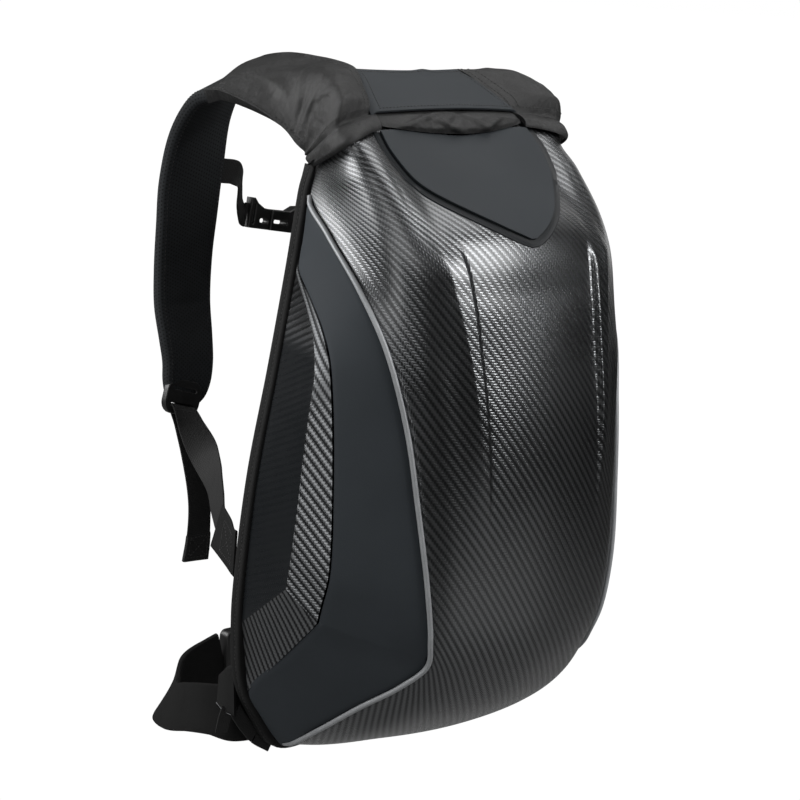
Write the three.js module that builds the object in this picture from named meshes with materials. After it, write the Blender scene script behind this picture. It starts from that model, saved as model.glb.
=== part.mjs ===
// A hard-shell motorcycle backpack with its harness in the form it has when worn.
// Millimetres, +Z up. The shell faces -Y and the wearer is on the +Y side.
// Heights are counted from the bottom edge, and y from the plane of the back edge seam.
import * as THREE from "three";

// Driving sizes
const SHELL_WALL = 2.5;
const PANEL_WALL = 2.5;
const SHIELD_WALL = 1.6;
const FABRIC_WALL = 2.0;
const STRAP_THICKNESS = 12;
const YOKE_END_DEPTH = 8;
const WEBBING_THICKNESS = 1.8;
const BELT_THICKNESS = 5;
const PAD_STAND = 14;
const PAD_EDGE_STAND = 3;
const PAD_INNER_Y = -8;
const PAD_FALL = 30;
const PIPING_RADIUS = 1.7;
const PIPING_LIFT = 0.8;
const SEAM_GAP = 0.45;
const PIPING_CLEAR = PIPING_RADIUS + 0.9;
const RIDGE_GAP = 0.8;
const OVERLAY_GAP = 1.0;
const BINDING = { front: -9.6, rear: 1.6, inside: 1.5, outside: 2.5 };
const PANEL_EDGE_Y = -10.2;
const FIN_RISE = 4.5;
const ORIGIN_HEIGHT = 250;

// Back edge seam, half of it, from the yoke's corner down to the middle of the bottom
const BACK_EDGE = [
  { half: 98, height: 455 },
  { half: 102, height: 437 },
  { half: 106, height: 414 },
  { half: 111, height: 383 },
  { half: 126, height: 302 },
  { half: 142, height: 224 },
  { half: 150.5, height: 155 },
  { half: 153, height: 109 },
  { half: 148, height: 60 },
  { half: 131, height: 28 },
  { half: 110, height: 3 },
  { half: 60, height: 3 },
  { half: 0, height: 3 },
];

// Sections of the front shell from the top seam to the bottom edge, left half.
// edge is the piping line, shoulder and fin lie between it and the crest on the middle line.
const SHELL_SECTIONS = [
  { edge: [-98, -11, 454], shoulder: [-113, -62, 477], fin: [-76, -52, 487], crest: [0, -59, 481] },
  { edge: [-105, -12, 432], shoulder: [-113, -98, 445], fin: [-73, -93, 446], crest: [0, -107, 449] },
  { edge: [-119, -52, 407], shoulder: [-113, -119, 411], fin: [-68, -136, 409], crest: [0, -145, 409] },
  { edge: [-125, -95, 372], shoulder: [-110, -132, 372], fin: [-64, -150, 369], crest: [0, -156, 369] },
  { edge: [-122, -122, 333], shoulder: [-101, -146, 332], fin: [-62, -158, 330], crest: [0, -165, 330] },
  { edge: [-113, -138, 276], shoulder: [-92, -156, 276], fin: [-60, -168, 276], crest: [0, -174, 276] },
  { edge: [-107, -147, 220], shoulder: [-87, -162, 220], fin: [-58, -173, 220], crest: [0, -178, 220] },
  { edge: [-100, -154, 160], shoulder: [-82, -165, 158], fin: [-56, -172, 156], crest: [0, -176, 155] },
  { edge: [-93, -153, 118], shoulder: [-78, -160, 112], fin: [-54, -165, 108], crest: [0, -169, 105] },
  { edge: [-89, -147, 98], shoulder: [-76, -150, 88], fin: [-53, -153, 80], crest: [0, -157, 76] },
  { edge: [-98, -130, 80], shoulder: [-80, -132, 63], fin: [-54, -134, 54], crest: [0, -137, 50] },
  { edge: [-108, -97, 57], shoulder: [-84, -100, 37], fin: [-55, -102, 30], crest: [0, -104, 27] },
  { edge: [-113, -60, 31], shoulder: [-86, -61, 16], fin: [-56, -62, 12], crest: [0, -63, 9] },
  { edge: [-113, -27, 10], shoulder: [-86, -30, 4], fin: [-56, -30, 3], crest: [0, -31, 2] },
  { edge: [-110, -11, 3], shoulder: [-86, -11, 1], fin: [-56, -11, 1], crest: [0, -11, 1] },
];

// Inner line of the side panel from top to bottom, and the shell section across from each point.
// Rows 2 to 14 run along the side inset, and the others along the back edge.
const SIDE_ROWS = [
  { inner: [-105.5, PANEL_EDGE_Y, 420], section: 1.12 },
  { inner: [-108, PANEL_EDGE_Y, 402], section: 1.5 },
  { inner: [-113, PANEL_EDGE_Y - 2, 385], section: 2.0 },
  { inner: [-119, -19, 378], section: 2.4 },
  { inner: [-131, -48, 360], section: 3.0 },
  { inner: [-138.5, -70, 342], section: 3.4 },
  { inner: [-143.5, -85, 322], section: 3.9 },
  { inner: [-147, -94, 294], section: 4.45 },
  { inner: [-149, -99.5, 259], section: 5.05 },
  { inner: [-150, -102.5, 222], section: 5.7 },
  { inner: [-150, -103, 190], section: 6.3 },
  { inner: [-150, -100, 162], section: 7.0 },
  { inner: [-150, -90, 134], section: 8.2 },
  { inner: [-149.5, -60, 98], section: 9.9 },
  { inner: [-147.5, -13, 55], section: 11.5 },
  { inner: [-131, PANEL_EDGE_Y, 29], section: 12.6 },
  { inner: [-115, PANEL_EDGE_Y, 8], section: 13.5 },
];
const INSET_FIRST_ROW = 2;

// The inset's rear edge along the binding and its spine, row by row beside SIDE_ROWS 2 to 14
const INSET_ROWS = [
  { edge: [-111.5, 379], spine: [-113, -12, 381] },
  { edge: [-113.5, 370], spine: [-117, -15, 375] },
  { edge: [-118, 348], spine: [-130, -43, 353] },
  { edge: [-122, 326], spine: [-142, -66, 331] },
  { edge: [-126.5, 302], spine: [-150, -77, 308] },
  { edge: [-132, 275], spine: [-155.5, -79, 283] },
  { edge: [-138.5, 244], spine: [-159, -79, 254] },
  { edge: [-144, 212], spine: [-161.5, -78, 220] },
  { edge: [-147.5, 183], spine: [-163, -76.5, 190] },
  { edge: [-150, 158], spine: [-163, -72, 164] },
  { edge: [-152, 134], spine: [-162, -63, 146] },
  { edge: [-153, 118], spine: [-160.5, -36, 126] },
  { edge: [-153, 108], spine: [-154.5, -13, 103] },
];

// The shield's outline on the shell: half its width as a share of the way to the fin line
const SHIELD_ROWS = [
  { section: 0.13, share: 1.0 },
  { section: 0.45, share: 1.03 },
  { section: 0.8, share: 1.0 },
  { section: 1.05, share: 0.93 },
  { section: 1.35, share: 0.77 },
  { section: 1.6, share: 0.55 },
  { section: 1.82, share: 0.3 },
  { section: 1.97, share: 0.06 },
];

// Outer face of the left yoke behind the shell's top seam, from the seam to the strap
const YOKE_ROWS = [
  { inner: [-70, -36, 505], middle: [-112, -51, 507], outer: [-103, -3, 464] },
  { inner: [-61, -17, 518], middle: [-104, -29, 520], outer: [-107, 3, 470] },
  { inner: [-54, -1, 527], middle: [-97, -4, 522], outer: [-110, 10, 478] },
  { inner: [-55, 17, 531], middle: [-92, 16, 521], outer: [-113, 18, 484] },
  { inner: [-56, 40, 533], middle: [-91, 36, 520], outer: [-116, 31, 491] },
  { inner: [-58, 70, 533], middle: [-94, 60, 522], outer: [-121, 52, 498] },
  { inner: [-60, 98, 526], middle: [-96, 86, 518], outer: [-124, 78, 501] },
];

// Outer face of the left shoulder strap from the yoke to the ladder lock
const STRAP_ROWS = [
  { inner: [-60, 101.5, 524], outer: [-124, 82, 500] },
  { inner: [-61, 122, 509], outer: [-125.5, 106, 491] },
  { inner: [-62, 138, 480], outer: [-126, 128, 466] },
  { inner: [-62, 147, 440], outer: [-125, 144, 428] },
  { inner: [-61, 157, 402], outer: [-122, 153, 392] },
  { inner: [-58, 166, 368], outer: [-119, 158, 357] },
  { inner: [-55, 171, 327], outer: [-116, 160, 325] },
  { inner: [-54, 168, 297], outer: [-112, 157, 297] },
  { inner: [-59, 161, 275], outer: [-109, 154, 280] },
  { inner: [-68, 157, 257], outer: [-107, 153, 267] },
];

// Routes of the webbing; turn swings its width from the X axis towards Z, in degrees,
// and lean tips the width's upper end along Y
const STRAP_WEBBING_ROUTE = [
  { at: [-91, 146, 246], turn: 0 },
  { at: [-91, 134, 230], turn: 30 },
  { at: [-97, 110, 212], turn: 75 },
  { at: [-108, 84, 199], turn: 92 },
  { at: [-120, 64, 187], turn: 95, lean: -0.3 },
  { at: [-129, 51.2, 178.4], turn: 92, lean: -0.5 },
];
const STRAP_TAIL_ROUTE = [
  { at: [-87, 155, 245], turn: 0 },
  { at: [-84, 155.4, 232], turn: 0 },
  { at: [-78, 148, 206], turn: 0 },
  { at: [-74, 143, 165], turn: 0 },
  { at: [-73, 144, 132], turn: 0 },
  { at: [-73, 147, 112], turn: 0 },
];
const STERNUM_LEFT_ROUTE = [
  { at: [-60, 141, 434], turn: 90 },
  { at: [-52, 143, 433], turn: 85 },
  { at: [-45, 146, 422], turn: 50 },
  { at: [-42, 149, 406], turn: 45 },
  { at: [-35, 150, 397.4], turn: 80 },
  { at: [-28.8, 150, 396.8], turn: 90 },
];
const STERNUM_RIGHT_ROUTE = [
  { at: [33.4, 150, 392.4], turn: 90 },
  { at: [44, 149.5, 392.4], turn: 90 },
  { at: [52, 148.5, 394], turn: 92 },
  { at: [57.6, 147.5, 395.5], turn: 90 },
];
const BELT_ROUTE = [
  { at: [-94, 17, 24], turn: 90 },
  { at: [-114, 17, 24], turn: 90 },
  { at: [-131, 23, 24], turn: 90 },
  { at: [-138, 44, 21], turn: 90 },
  { at: [-131, 80, 11], turn: 90, lean: -0.1 },
  { at: [-118, 115, 0], turn: 90, lean: -0.25 },
  { at: [-100, 144, -3], turn: 88, lean: -0.35 },
  { at: [-72, 156, 10], turn: 96, lean: -0.1 },
  { at: [-46, 157.5, 24.5], turn: 91 },
  { at: [-32, 157.5, 25], turn: 90 },
];
const BELT_LOOP_ROUTE = [
  { at: [-145, 3.4, 34], turn: -20 },
  { at: [-137, 3.4, 23], turn: -35 },
  { at: [-126, 3.4, 10], turn: -42 },
  { at: [-117, 3.4, 0], turn: -45 },
];
const ANCHOR_ROUTE = [
  { at: [-131, 50, 169], turn: 90, lean: -0.5, width: 36 },
  { at: [-141, 26, 164], turn: 90, lean: -0.25, width: 36 },
  { at: [-149, 9, 160], turn: 90, width: 36 },
  { at: [-151.2, 3, 159.5], turn: 90, width: 37 },
];
const HIP_TAB_ROUTE = [
  { at: [-147, 2.8, 55], turn: 82, width: 34 },
  { at: [-148, 12, 53], turn: 82, width: 33 },
  { at: [-147, 22, 50], turn: 80, width: 30 },
];
// How much lower the right strap hangs than the left one
const RIGHT_STRAP_DROP = 28;

const STRAP_WEBBING_WIDTH = 25;
const STERNUM_WIDTH = 20;
const BELT_WIDTH = 45;
const BELT_LOOP_WIDTH = 11;

// Hard fittings
const LOCK = { centre: [-90, 150.5, 251.2], tilt: 14.5, width: 36, height: 21, depth: 6, slot: 27, slotHeight: 3.6 };
const STERNUM_BUCKLE = { centre: [2, 150, 394.5], length: 60, height: 26, depth: 11, tilt: 4 };
const BELT_BUCKLE = { centre: [0, 157.5, 25], length: 62, height: 48, depth: 12, tilt: 0 };

const material = (color, roughness, metalness = 0) =>
  new THREE.MeshStandardMaterial({ color, roughness, metalness });
const CARBON = material(0x1b1d20, 0.32);
const SHIELD = material(0x20242a, 0.5);
const MATTE = material(0x1c2026, 0.6);
const NYLON = material(0x1a1b1e, 0.7);
const MESH = material(0x0f1012, 0.9);
const WEBBING = material(0x131417, 0.8);
const PLASTIC = material(0x101113, 0.45);
const REFLECTIVE = material(0x8d9196, 0.4);

const vector = (p) => new THREE.Vector3(p[0], p[1], p[2]);
const rail = (points) => new THREE.CatmullRomCurve3(points, false, "centripetal");
const along = (curve, index) => curve.getPoint(index / (curve.points.length - 1));
const smooth = (low, high, value) => THREE.MathUtils.smoothstep(value, low, high);
const steps = (from, to, count) =>
  Array.from({ length: count + 1 }, (_, i) => from + ((to - from) * i) / count);

// A closed mesh from points and triangles, turned to face out
function closedMesh(points, triangles) {
  let volume = 0;
  for (const [a, b, c] of triangles) {
    volume += points[a].dot(points[b].clone().cross(points[c]));
  }
  const facing = volume > 0 ? triangles : triangles.map(([a, b, c]) => [a, c, b]);
  const geometry = new THREE.BufferGeometry();
  geometry.setFromPoints(points);
  geometry.setIndex(facing.flat());
  geometry.computeVertexNormals();
  return geometry;
}

// Unit normals of a grid of points, one for each point
function gridNormals(grid) {
  return grid.map((row, i) =>
    row.map((_, j) => {
      const up = grid[Math.max(i - 1, 0)][j];
      const down = grid[Math.min(i + 1, grid.length - 1)][j];
      const before = row[Math.max(j - 1, 0)];
      const after = row[Math.min(j + 1, row.length - 1)];
      const across = after.clone().sub(before);
      return down.clone().sub(up).cross(across).normalize();
    }),
  );
}

// A wall whose outer face is the grid; depth(row) is its thickness, inward from there
function wall(grid, depth) {
  const normals = gridNormals(grid);
  const inner = grid.map((row, i) =>
    row.map((p, j) => p.clone().addScaledVector(normals[i][j], -depth(i))),
  );
  return between(grid, inner);
}

// The solid between two grids of the same size
function between(outer, inner) {
  const rows = outer.length;
  const columns = outer[0].length;
  const points = [...outer.flat(), ...inner.flat()];
  const front = (i, j) => i * columns + j;
  const back = (i, j) => rows * columns + front(i, j);
  const triangles = [];
  const quad = (a, b, c, d, turned = false) => {
    if (turned) triangles.push([a, b, d], [b, c, d]);
    else triangles.push([a, b, c], [a, c, d]);
  };
  for (let i = 0; i + 1 < rows; i += 1) {
    for (let j = 0; j + 1 < columns; j += 1) {
      const turned = 2 * j >= columns - 1;
      quad(front(i, j), front(i + 1, j), front(i + 1, j + 1), front(i, j + 1), turned);
      quad(back(i, j), back(i, j + 1), back(i + 1, j + 1), back(i + 1, j), turned);
    }
    quad(front(i, 0), back(i, 0), back(i + 1, 0), front(i + 1, 0));
    const last = columns - 1;
    quad(front(i + 1, last), back(i + 1, last), back(i, last), front(i, last));
  }
  for (let j = 0; j + 1 < columns; j += 1) {
    quad(front(0, j + 1), back(0, j + 1), back(0, j), front(0, j));
    const last = rows - 1;
    quad(front(last, j), back(last, j), back(last, j + 1), front(last, j + 1));
  }
  return closedMesh(points, triangles);
}

// A solid through closed rings of the same number of points, with flat ends
function loft(rings) {
  const sides = rings[0].length;
  const points = rings.flat();
  const triangles = [];
  for (let i = 0; i + 1 < rings.length; i += 1) {
    for (let j = 0; j < sides; j += 1) {
      const a = i * sides + j;
      const b = i * sides + ((j + 1) % sides);
      triangles.push([a, b, b + sides], [a, b + sides, a + sides]);
    }
  }
  const end = (rings.length - 1) * sides;
  for (let j = 1; j + 1 < sides; j += 1) {
    triangles.push([0, j + 1, j], [end, end + j, end + j + 1]);
  }
  return closedMesh(points, triangles);
}

// A band with rounded edges: its outer face runs between two edge rails
function bandBetween(firstEdge, secondEdge, thickness, count) {
  const last = firstEdge.length - 1;
  const first = rail(firstEdge);
  const second = rail(secondEdge);
  const middle = rail(firstEdge.map((p, i) => p.clone().lerp(secondEdge[i], 0.5)));
  const rings = steps(0, last, count).map((index) => {
    const a = along(first, index);
    const b = along(second, index);
    const tangent = middle.getTangent(index / last);
    const width = b.clone().sub(a);
    const outward = tangent.clone().cross(width).normalize();
    const side = width.clone().normalize();
    const radius = Math.min(thickness / 2, width.length() / 4);
    const corner = (edge, sideways, sink) =>
      edge.clone().addScaledVector(side, sideways).addScaledVector(outward, -sink);
    return [
      corner(a, radius, 0),
      corner(b, -radius, 0),
      corner(b, 0, thickness * 0.3),
      corner(b, 0, thickness * 0.7),
      corner(b, -radius, thickness),
      corner(a, radius, thickness),
      corner(a, 0, thickness * 0.7),
      corner(a, 0, thickness * 0.3),
    ];
  });
  return loft(rings);
}

// Webbing along a route, its width leaning by each row's turn and kept square to the route
function webbing(route, width, thickness, count) {
  const last = route.length - 1;
  const centre = rail(route.map((row) => vector(row.at)));
  const lean = rail(
    route.map(({ turn, lean: leanY = 0 }) => {
      const angle = THREE.MathUtils.degToRad(turn);
      return new THREE.Vector3(Math.cos(angle), leanY, Math.sin(angle));
    }),
  );
  const widths = rail(route.map((row) => new THREE.Vector3(row.width ?? width, 0, 0)));
  const rings = steps(0, last, count).map((index) => {
    const middle = along(centre, index);
    const tangent = centre.getTangent(index / last);
    const side = along(lean, index);
    side.addScaledVector(tangent, -side.dot(tangent)).normalize();
    const face = tangent.clone().cross(side).normalize();
    const half = along(widths, index).x / 2;
    const corner = (sideways, lift) =>
      middle.clone().addScaledVector(side, sideways).addScaledVector(face, lift);
    return [
      corner(-half, -thickness / 2),
      corner(half, -thickness / 2),
      corner(half, thickness / 2),
      corner(-half, thickness / 2),
    ];
  });
  return loft(rings);
}

// Front shell: rails down the sections, and one smooth curve across each section
const shellRails = ["edge", "shoulder", "fin", "crest"].map((name) =>
  rail(SHELL_SECTIONS.map((section) => vector(section[name]))),
);
const LAST_SECTION = SHELL_SECTIONS.length - 1;
const mirrorPoint = (p) => new THREE.Vector3(-p.x, p.y, p.z);

// Point of the plain shell: across runs 0 to 6 from the left piping over the crest to the right one
function plainShell(across, section) {
  const half = shellRails.map((curve) => along(curve, section));
  const other = half.slice(0, 3).reverse().map(mirrorPoint);
  return along(rail([...half, ...other]), across);
}

function shellNormal(across, section) {
  const small = 0.02;
  const left = plainShell(Math.max(across - small, 0), section);
  const right = plainShell(Math.min(across + small, 6), section);
  const up = plainShell(across, Math.max(section - small, 0));
  const down = plainShell(across, Math.min(section + small, LAST_SECTION));
  return right.sub(left).cross(down.sub(up)).normalize().negate();
}

// Rise of the two fins: a long slope outside the fin line and a short drop inside it
function finRise(across, section) {
  const fromEdge = Math.min(across, 6 - across);
  const slope = smooth(1.35, 1.93, fromEdge) * (1 - smooth(1.93, 2.07, fromEdge));
  const length = smooth(1.95, 2.6, section) * (1 - smooth(4.4, 6.6, section));
  return FIN_RISE * slope * length;
}

function shellPoint(across, section, lift = 0) {
  const rise = finRise(across, section) + lift;
  return plainShell(across, section).addScaledVector(shellNormal(across, section), rise);
}

const HALF_COLUMNS = [0.4, 0.75, 1.05, 1.35, 1.65, 1.83, 1.94, 2.07, 2.5];
const SHELL_COLUMNS = [...HALF_COLUMNS, 3, ...HALF_COLUMNS.map((u) => 6 - u).reverse()];
const SHELL_STATIONS = [
  ...steps(0, 2, 5),
  ...steps(2.4, 7.6, 12),
  ...steps(8, 10, 6),
  ...steps(10.5, LAST_SECTION, 7),
];

function frontShell() {
  const grid = SHELL_STATIONS.map((section) => {
    const start = plainShell(0, section);
    const clear = PIPING_CLEAR / (plainShell(0.2, section).distanceTo(start) / 0.2);
    return [clear, ...SHELL_COLUMNS, 6 - clear].map((across) => shellPoint(across, section));
  });
  return wall(grid, () => SHELL_WALL);
}

function shieldPanel() {
  const lift = OVERLAY_GAP + SHIELD_WALL;
  const outline = rail(SHIELD_ROWS.map((row) => new THREE.Vector3(row.section, row.share, 0)));
  const grid = steps(0, SHIELD_ROWS.length - 1, 10).map((index) => {
    const { x: section, y: share } = along(outline, index);
    return steps(-1, 1, 8).map((way) => shellPoint(3 + way * share, section, lift));
  });
  return wall(grid, () => SHIELD_WALL);
}

// Piping and side panels
const pipingRail = shellRails[0];

function piping() {
  const route = SHELL_STATIONS.filter((section) => section > 0.9 && section < 13.7);
  const rings = route.map((section) => {
    const tangent = pipingRail.getTangent(section / LAST_SECTION);
    const outward = shellNormal(0, section);
    const sideways = tangent.clone().cross(outward).normalize();
    const centre = along(pipingRail, section).addScaledVector(outward, PIPING_LIFT);
    return steps(0, 300, 5).map((angle) => {
      const turn = THREE.MathUtils.degToRad(angle);
      return centre
        .clone()
        .addScaledVector(outward, PIPING_RADIUS * Math.cos(turn))
        .addScaledVector(sideways, PIPING_RADIUS * Math.sin(turn));
    });
  });
  return loft(rings);
}

const innerRail = rail(SIDE_ROWS.map((row) => vector(row.inner)));
const sectionRail = rail(SIDE_ROWS.map((row, i) => new THREE.Vector3(row.section, i, 0)));
const stepFrom = (start, end, distance) =>
  start.clone().addScaledVector(end.clone().sub(start).normalize(), distance);

function sidePanel() {
  const grid = steps(0, SIDE_ROWS.length - 1, 2 * (SIDE_ROWS.length - 1)).map((index) => {
    const inner = along(innerRail, index);
    const outer = along(pipingRail, along(sectionRail, index).x);
    const start = stepFrom(inner, outer, RIDGE_GAP);
    const end = stepFrom(outer, inner, PIPING_CLEAR);
    return steps(0, 1, 4).map((share) => start.clone().lerp(end, share));
  });
  return wall(grid, () => PANEL_WALL);
}

function sideInset() {
  const edges = rail(INSET_ROWS.map(({ edge }) => new THREE.Vector3(edge[0], PANEL_EDGE_Y, edge[1])));
  const spines = rail(INSET_ROWS.map(({ spine }) => vector(spine)));
  const last = INSET_ROWS.length - 1;
  const grid = steps(0, last, 2 * last).map((index) => {
    const edge = along(edges, index);
    const spine = along(spines, index);
    const ridge = stepFrom(along(innerRail, index + INSET_FIRST_ROW), spine, RIDGE_GAP);
    const face = [0, 0.35, 0.7].map((share) => edge.clone().lerp(spine, share));
    const bevel = [0.05, 0.5, 1].map((share) => spine.clone().lerp(ridge, share));
    return [...face, ...bevel];
  });
  return wall(grid, () => PANEL_WALL);
}

// Back edge and back panel
const edgeRail = rail([
  ...BACK_EDGE.map(({ half, height }) => new THREE.Vector3(-half, 0, height)),
  ...BACK_EDGE.slice(0, -1).reverse().map(({ half, height }) => new THREE.Vector3(half, 0, height)),
]);

function edgeBinding() {
  const last = edgeRail.points.length - 1;
  const rings = steps(0, last, 2 * last).map((index) => {
    const seam = along(edgeRail, index);
    const tangent = edgeRail.getTangent(index / last);
    const outward = new THREE.Vector3(tangent.z, 0, -tangent.x).normalize();
    const corner = (away, y) => {
      const p = seam.clone().addScaledVector(outward, away);
      p.y = y;
      return p;
    };
    return [
      corner(-BINDING.inside, BINDING.front),
      corner(BINDING.outside - 1, BINDING.front),
      corner(BINDING.outside, BINDING.front + 2),
      corner(BINDING.outside, BINDING.rear - 1),
      corner(BINDING.outside - 1, BINDING.rear),
      corner(-BINDING.inside, BINDING.rear),
    ];
  });
  return loft(rings);
}

// Half widths of the back panel above the binding, up to the neck
const NECK_ROWS = [
  { half: 84, height: 472 },
  { half: 62, height: 496 },
  { half: 46, height: 507 },
];
const BOTTOM_CORNER = 10;

function backPanel() {
  const inset = BINDING.inside + SEAM_GAP;
  const last = edgeRail.points.length - 1;
  const beside = steps(BOTTOM_CORNER, 0, 2 * BOTTOM_CORNER).map((index) => {
    const seam = along(edgeRail, index);
    const tangent = edgeRail.getTangent(index / last);
    return { half: -seam.x - inset * Math.hypot(1, tangent.x / tangent.z), height: seam.z };
  });
  beside[0] = { half: beside[0].half, height: BACK_EDGE[BOTTOM_CORNER].height + inset };
  const rows = [...beside, ...NECK_ROWS];
  const lowest = rows[0].height;
  const highest = rows[rows.length - 1].height;
  const columns = [-1, -0.9, -0.76, 0, 0.76, 0.9, 1];
  const spots = rows.map(({ half, height }) =>
    columns.map((share) => new THREE.Vector3(share * half, half, height)),
  );
  const rear = spots.map((row) =>
    row.map(({ x, y: half, z }) => {
      const room = Math.min(half - Math.abs(x), z - lowest, highest - z);
      const stand = THREE.MathUtils.lerp(PAD_EDGE_STAND, PAD_STAND, smooth(0, PAD_FALL, room));
      return new THREE.Vector3(x, stand, z);
    }),
  );
  const inside = spots.map((row) => row.map(({ x, z }) => new THREE.Vector3(x, PAD_INNER_Y, z)));
  return between(rear, inside);
}

// Top panel and gusset between the yokes: a row for the height, the half width and the bow forward
const TOP_PANEL_ROWS = [
  { half: 53, y: -1.5, height: 526, bow: 2, rise: -1 },
  { half: 60, y: -17, height: 518.5, bow: 4, rise: 0 },
  { half: 68.8, y: -36, height: 506, bow: 5, rise: 2 },
  { half: 73.5, y: -48, height: 497.5, bow: 6, rise: 2 },
];
const GUSSET_ROWS = [
  { half: 71, y: -44, height: 496.3, bow: 5, rise: 2.2 },
  { half: 72.5, y: -49, height: 494, bow: 11, rise: 0 },
  { half: 73.5, y: -53.5, height: 490.5, bow: 13.5, rise: -4 },
];

function crossPanel(table, rows, columns) {
  const rails = ["half", "y", "height", "bow", "rise"].map((name) =>
    rail(table.map((row, i) => new THREE.Vector3(row[name], i * 10, 0))),
  );
  const grid = steps(0, table.length - 1, rows).map((index) => {
    const [half, y, height, bow, rise] = rails.map((curve) => along(curve, index).x);
    return steps(-1, 1, columns).map((share) => {
      const crown = 1 - share * share;
      return new THREE.Vector3(share * half, y - bow * crown, height + rise * crown);
    });
  });
  return wall(grid, () => FABRIC_WALL);
}

// Lowers points that lie behind the back edge, fully from the far distance on
const dropped = (near, far, drop) => (p) =>
  new THREE.Vector3(p.x, p.y, p.z - drop * smooth(near, far, p.y));

// Yoke: its hem lies over the shell's top edge, and it thickens into the strap
function yoke(drop) {
  const columns = steps(0, 1, 8);
  const lift = OVERLAY_GAP + FABRIC_WALL;
  const hem = [0.2, 0].map((section) =>
    columns.map((share) => shellPoint(1.97 - 1.93 * share, section, lift)),
  );
  const rails = ["inner", "middle", "outer"].map((name) =>
    rail(YOKE_ROWS.map((row) => vector(row[name])).map(dropped(-6, 36, drop))),
  );
  const rows = YOKE_ROWS.length - 1;
  const back = steps(0, rows, 2 * rows).map((index) => {
    const across = rail(rails.map((curve) => along(curve, index)));
    return columns.map((share) => across.getPoint(share));
  });
  const grid = [...hem, ...back];
  const depth = (i) =>
    THREE.MathUtils.lerp(FABRIC_WALL, YOKE_END_DEPTH, smooth(6, grid.length - 1, i));
  return wall(grid, depth);
}

function shoulderStrap() {
  const inner = STRAP_ROWS.map((row) => vector(row.inner));
  const outer = STRAP_ROWS.map((row) => vector(row.outer));
  return bandBetween(inner, outer, STRAP_THICKNESS, 22);
}

// Hard fittings, extruded through their depth and centred on their own middle
function roundedBox(length, height, radius) {
  const shape = new THREE.Shape();
  const x = length / 2 - radius;
  const y = height / 2 - radius;
  shape.absarc(x, y, radius, 0, Math.PI / 2);
  shape.absarc(-x, y, radius, Math.PI / 2, Math.PI);
  shape.absarc(-x, -y, radius, Math.PI, 1.5 * Math.PI);
  shape.absarc(x, -y, radius, 1.5 * Math.PI, 2 * Math.PI);
  return shape;
}

function extruded(shape, depth) {
  const geometry = new THREE.ExtrudeGeometry(shape, { depth, bevelEnabled: false, curveSegments: 3 });
  geometry.translate(0, 0, -depth / 2);
  geometry.rotateX(Math.PI / 2);
  return geometry;
}

function ladderLock() {
  const shape = roundedBox(LOCK.width, LOCK.height, 4);
  for (const side of [-1, 1]) {
    const slot = new THREE.Path();
    const y = side * LOCK.height * 0.23;
    slot.moveTo(-LOCK.slot / 2, y - LOCK.slotHeight / 2);
    slot.lineTo(LOCK.slot / 2, y - LOCK.slotHeight / 2);
    slot.lineTo(LOCK.slot / 2, y + LOCK.slotHeight / 2);
    slot.lineTo(-LOCK.slot / 2, y + LOCK.slotHeight / 2);
    shape.holes.push(slot);
  }
  return extruded(shape, LOCK.depth);
}

// The fastened buckle: a socket with notched sides, and a plug whose release tabs fill the notches
const SOCKET_SHARE = 0.62;
const NOTCH = { reach: 0.62, depth: 5 };

function sternumSocket() {
  const { length, height, depth } = STERNUM_BUCKLE;
  const right = length / 2;
  const left = right - length * SOCKET_SHARE;
  const shape = new THREE.Shape();
  const half = height / 2;
  const notchEnd = left + length * SOCKET_SHARE * NOTCH.reach;
  shape.moveTo(left, -half + NOTCH.depth);
  shape.lineTo(notchEnd, -half + NOTCH.depth);
  shape.lineTo(notchEnd + 2, -half);
  shape.lineTo(right - 3, -half + 1);
  shape.lineTo(right, -half + 4);
  shape.lineTo(right, half - 4);
  shape.lineTo(right - 3, half - 1);
  shape.lineTo(notchEnd + 2, half);
  shape.lineTo(notchEnd, half - NOTCH.depth);
  shape.lineTo(left, half - NOTCH.depth);
  return { geometry: extruded(shape, depth), notchEnd, left };
}

function sternumPlug() {
  const { length, height, depth } = STERNUM_BUCKLE;
  const { notchEnd, left } = sternumSocket();
  const start = -length / 2;
  const half = height / 2;
  const inside = half - NOTCH.depth + SEAM_GAP;
  const stop = left - SEAM_GAP;
  const tip = notchEnd - 1;
  const shape = new THREE.Shape();
  shape.moveTo(start, -half + 3);
  shape.lineTo(start + 3, -half);
  shape.lineTo(stop - 2, -half);
  shape.lineTo(tip - 6, -half - 1.5);
  shape.lineTo(tip, -half + 1);
  shape.lineTo(tip, -inside);
  shape.lineTo(stop, -inside);
  shape.lineTo(stop, inside);
  shape.lineTo(tip, inside);
  shape.lineTo(tip, half - 1);
  shape.lineTo(tip - 6, half + 1.5);
  shape.lineTo(stop - 2, half);
  shape.lineTo(start + 3, half);
  shape.lineTo(start, half - 3);
  return extruded(shape, depth - 3);
}

// The assembly
const bag = new THREE.Group();
bag.position.set(0, -PAD_STAND, -ORIGIN_HEIGHT);

function add(parent, name, geometry, finish, place) {
  const mesh = new THREE.Mesh(geometry, finish);
  mesh.name = name;
  if (place) {
    mesh.position.set(...place.centre);
    mesh.rotation.y = THREE.MathUtils.degToRad(place.tilt ?? 0);
  }
  parent.add(mesh);
}

add(bag, "front_shell", frontShell(), CARBON);
add(bag, "shield_panel", shieldPanel(), SHIELD);
add(bag, "edge_binding", edgeBinding(), NYLON);
add(bag, "back_panel", backPanel(), MESH);
add(bag, "top_panel", crossPanel(TOP_PANEL_ROWS, 5, 8), SHIELD);
add(bag, "handle_gusset", crossPanel(GUSSET_ROWS, 4, 12), NYLON);

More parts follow.
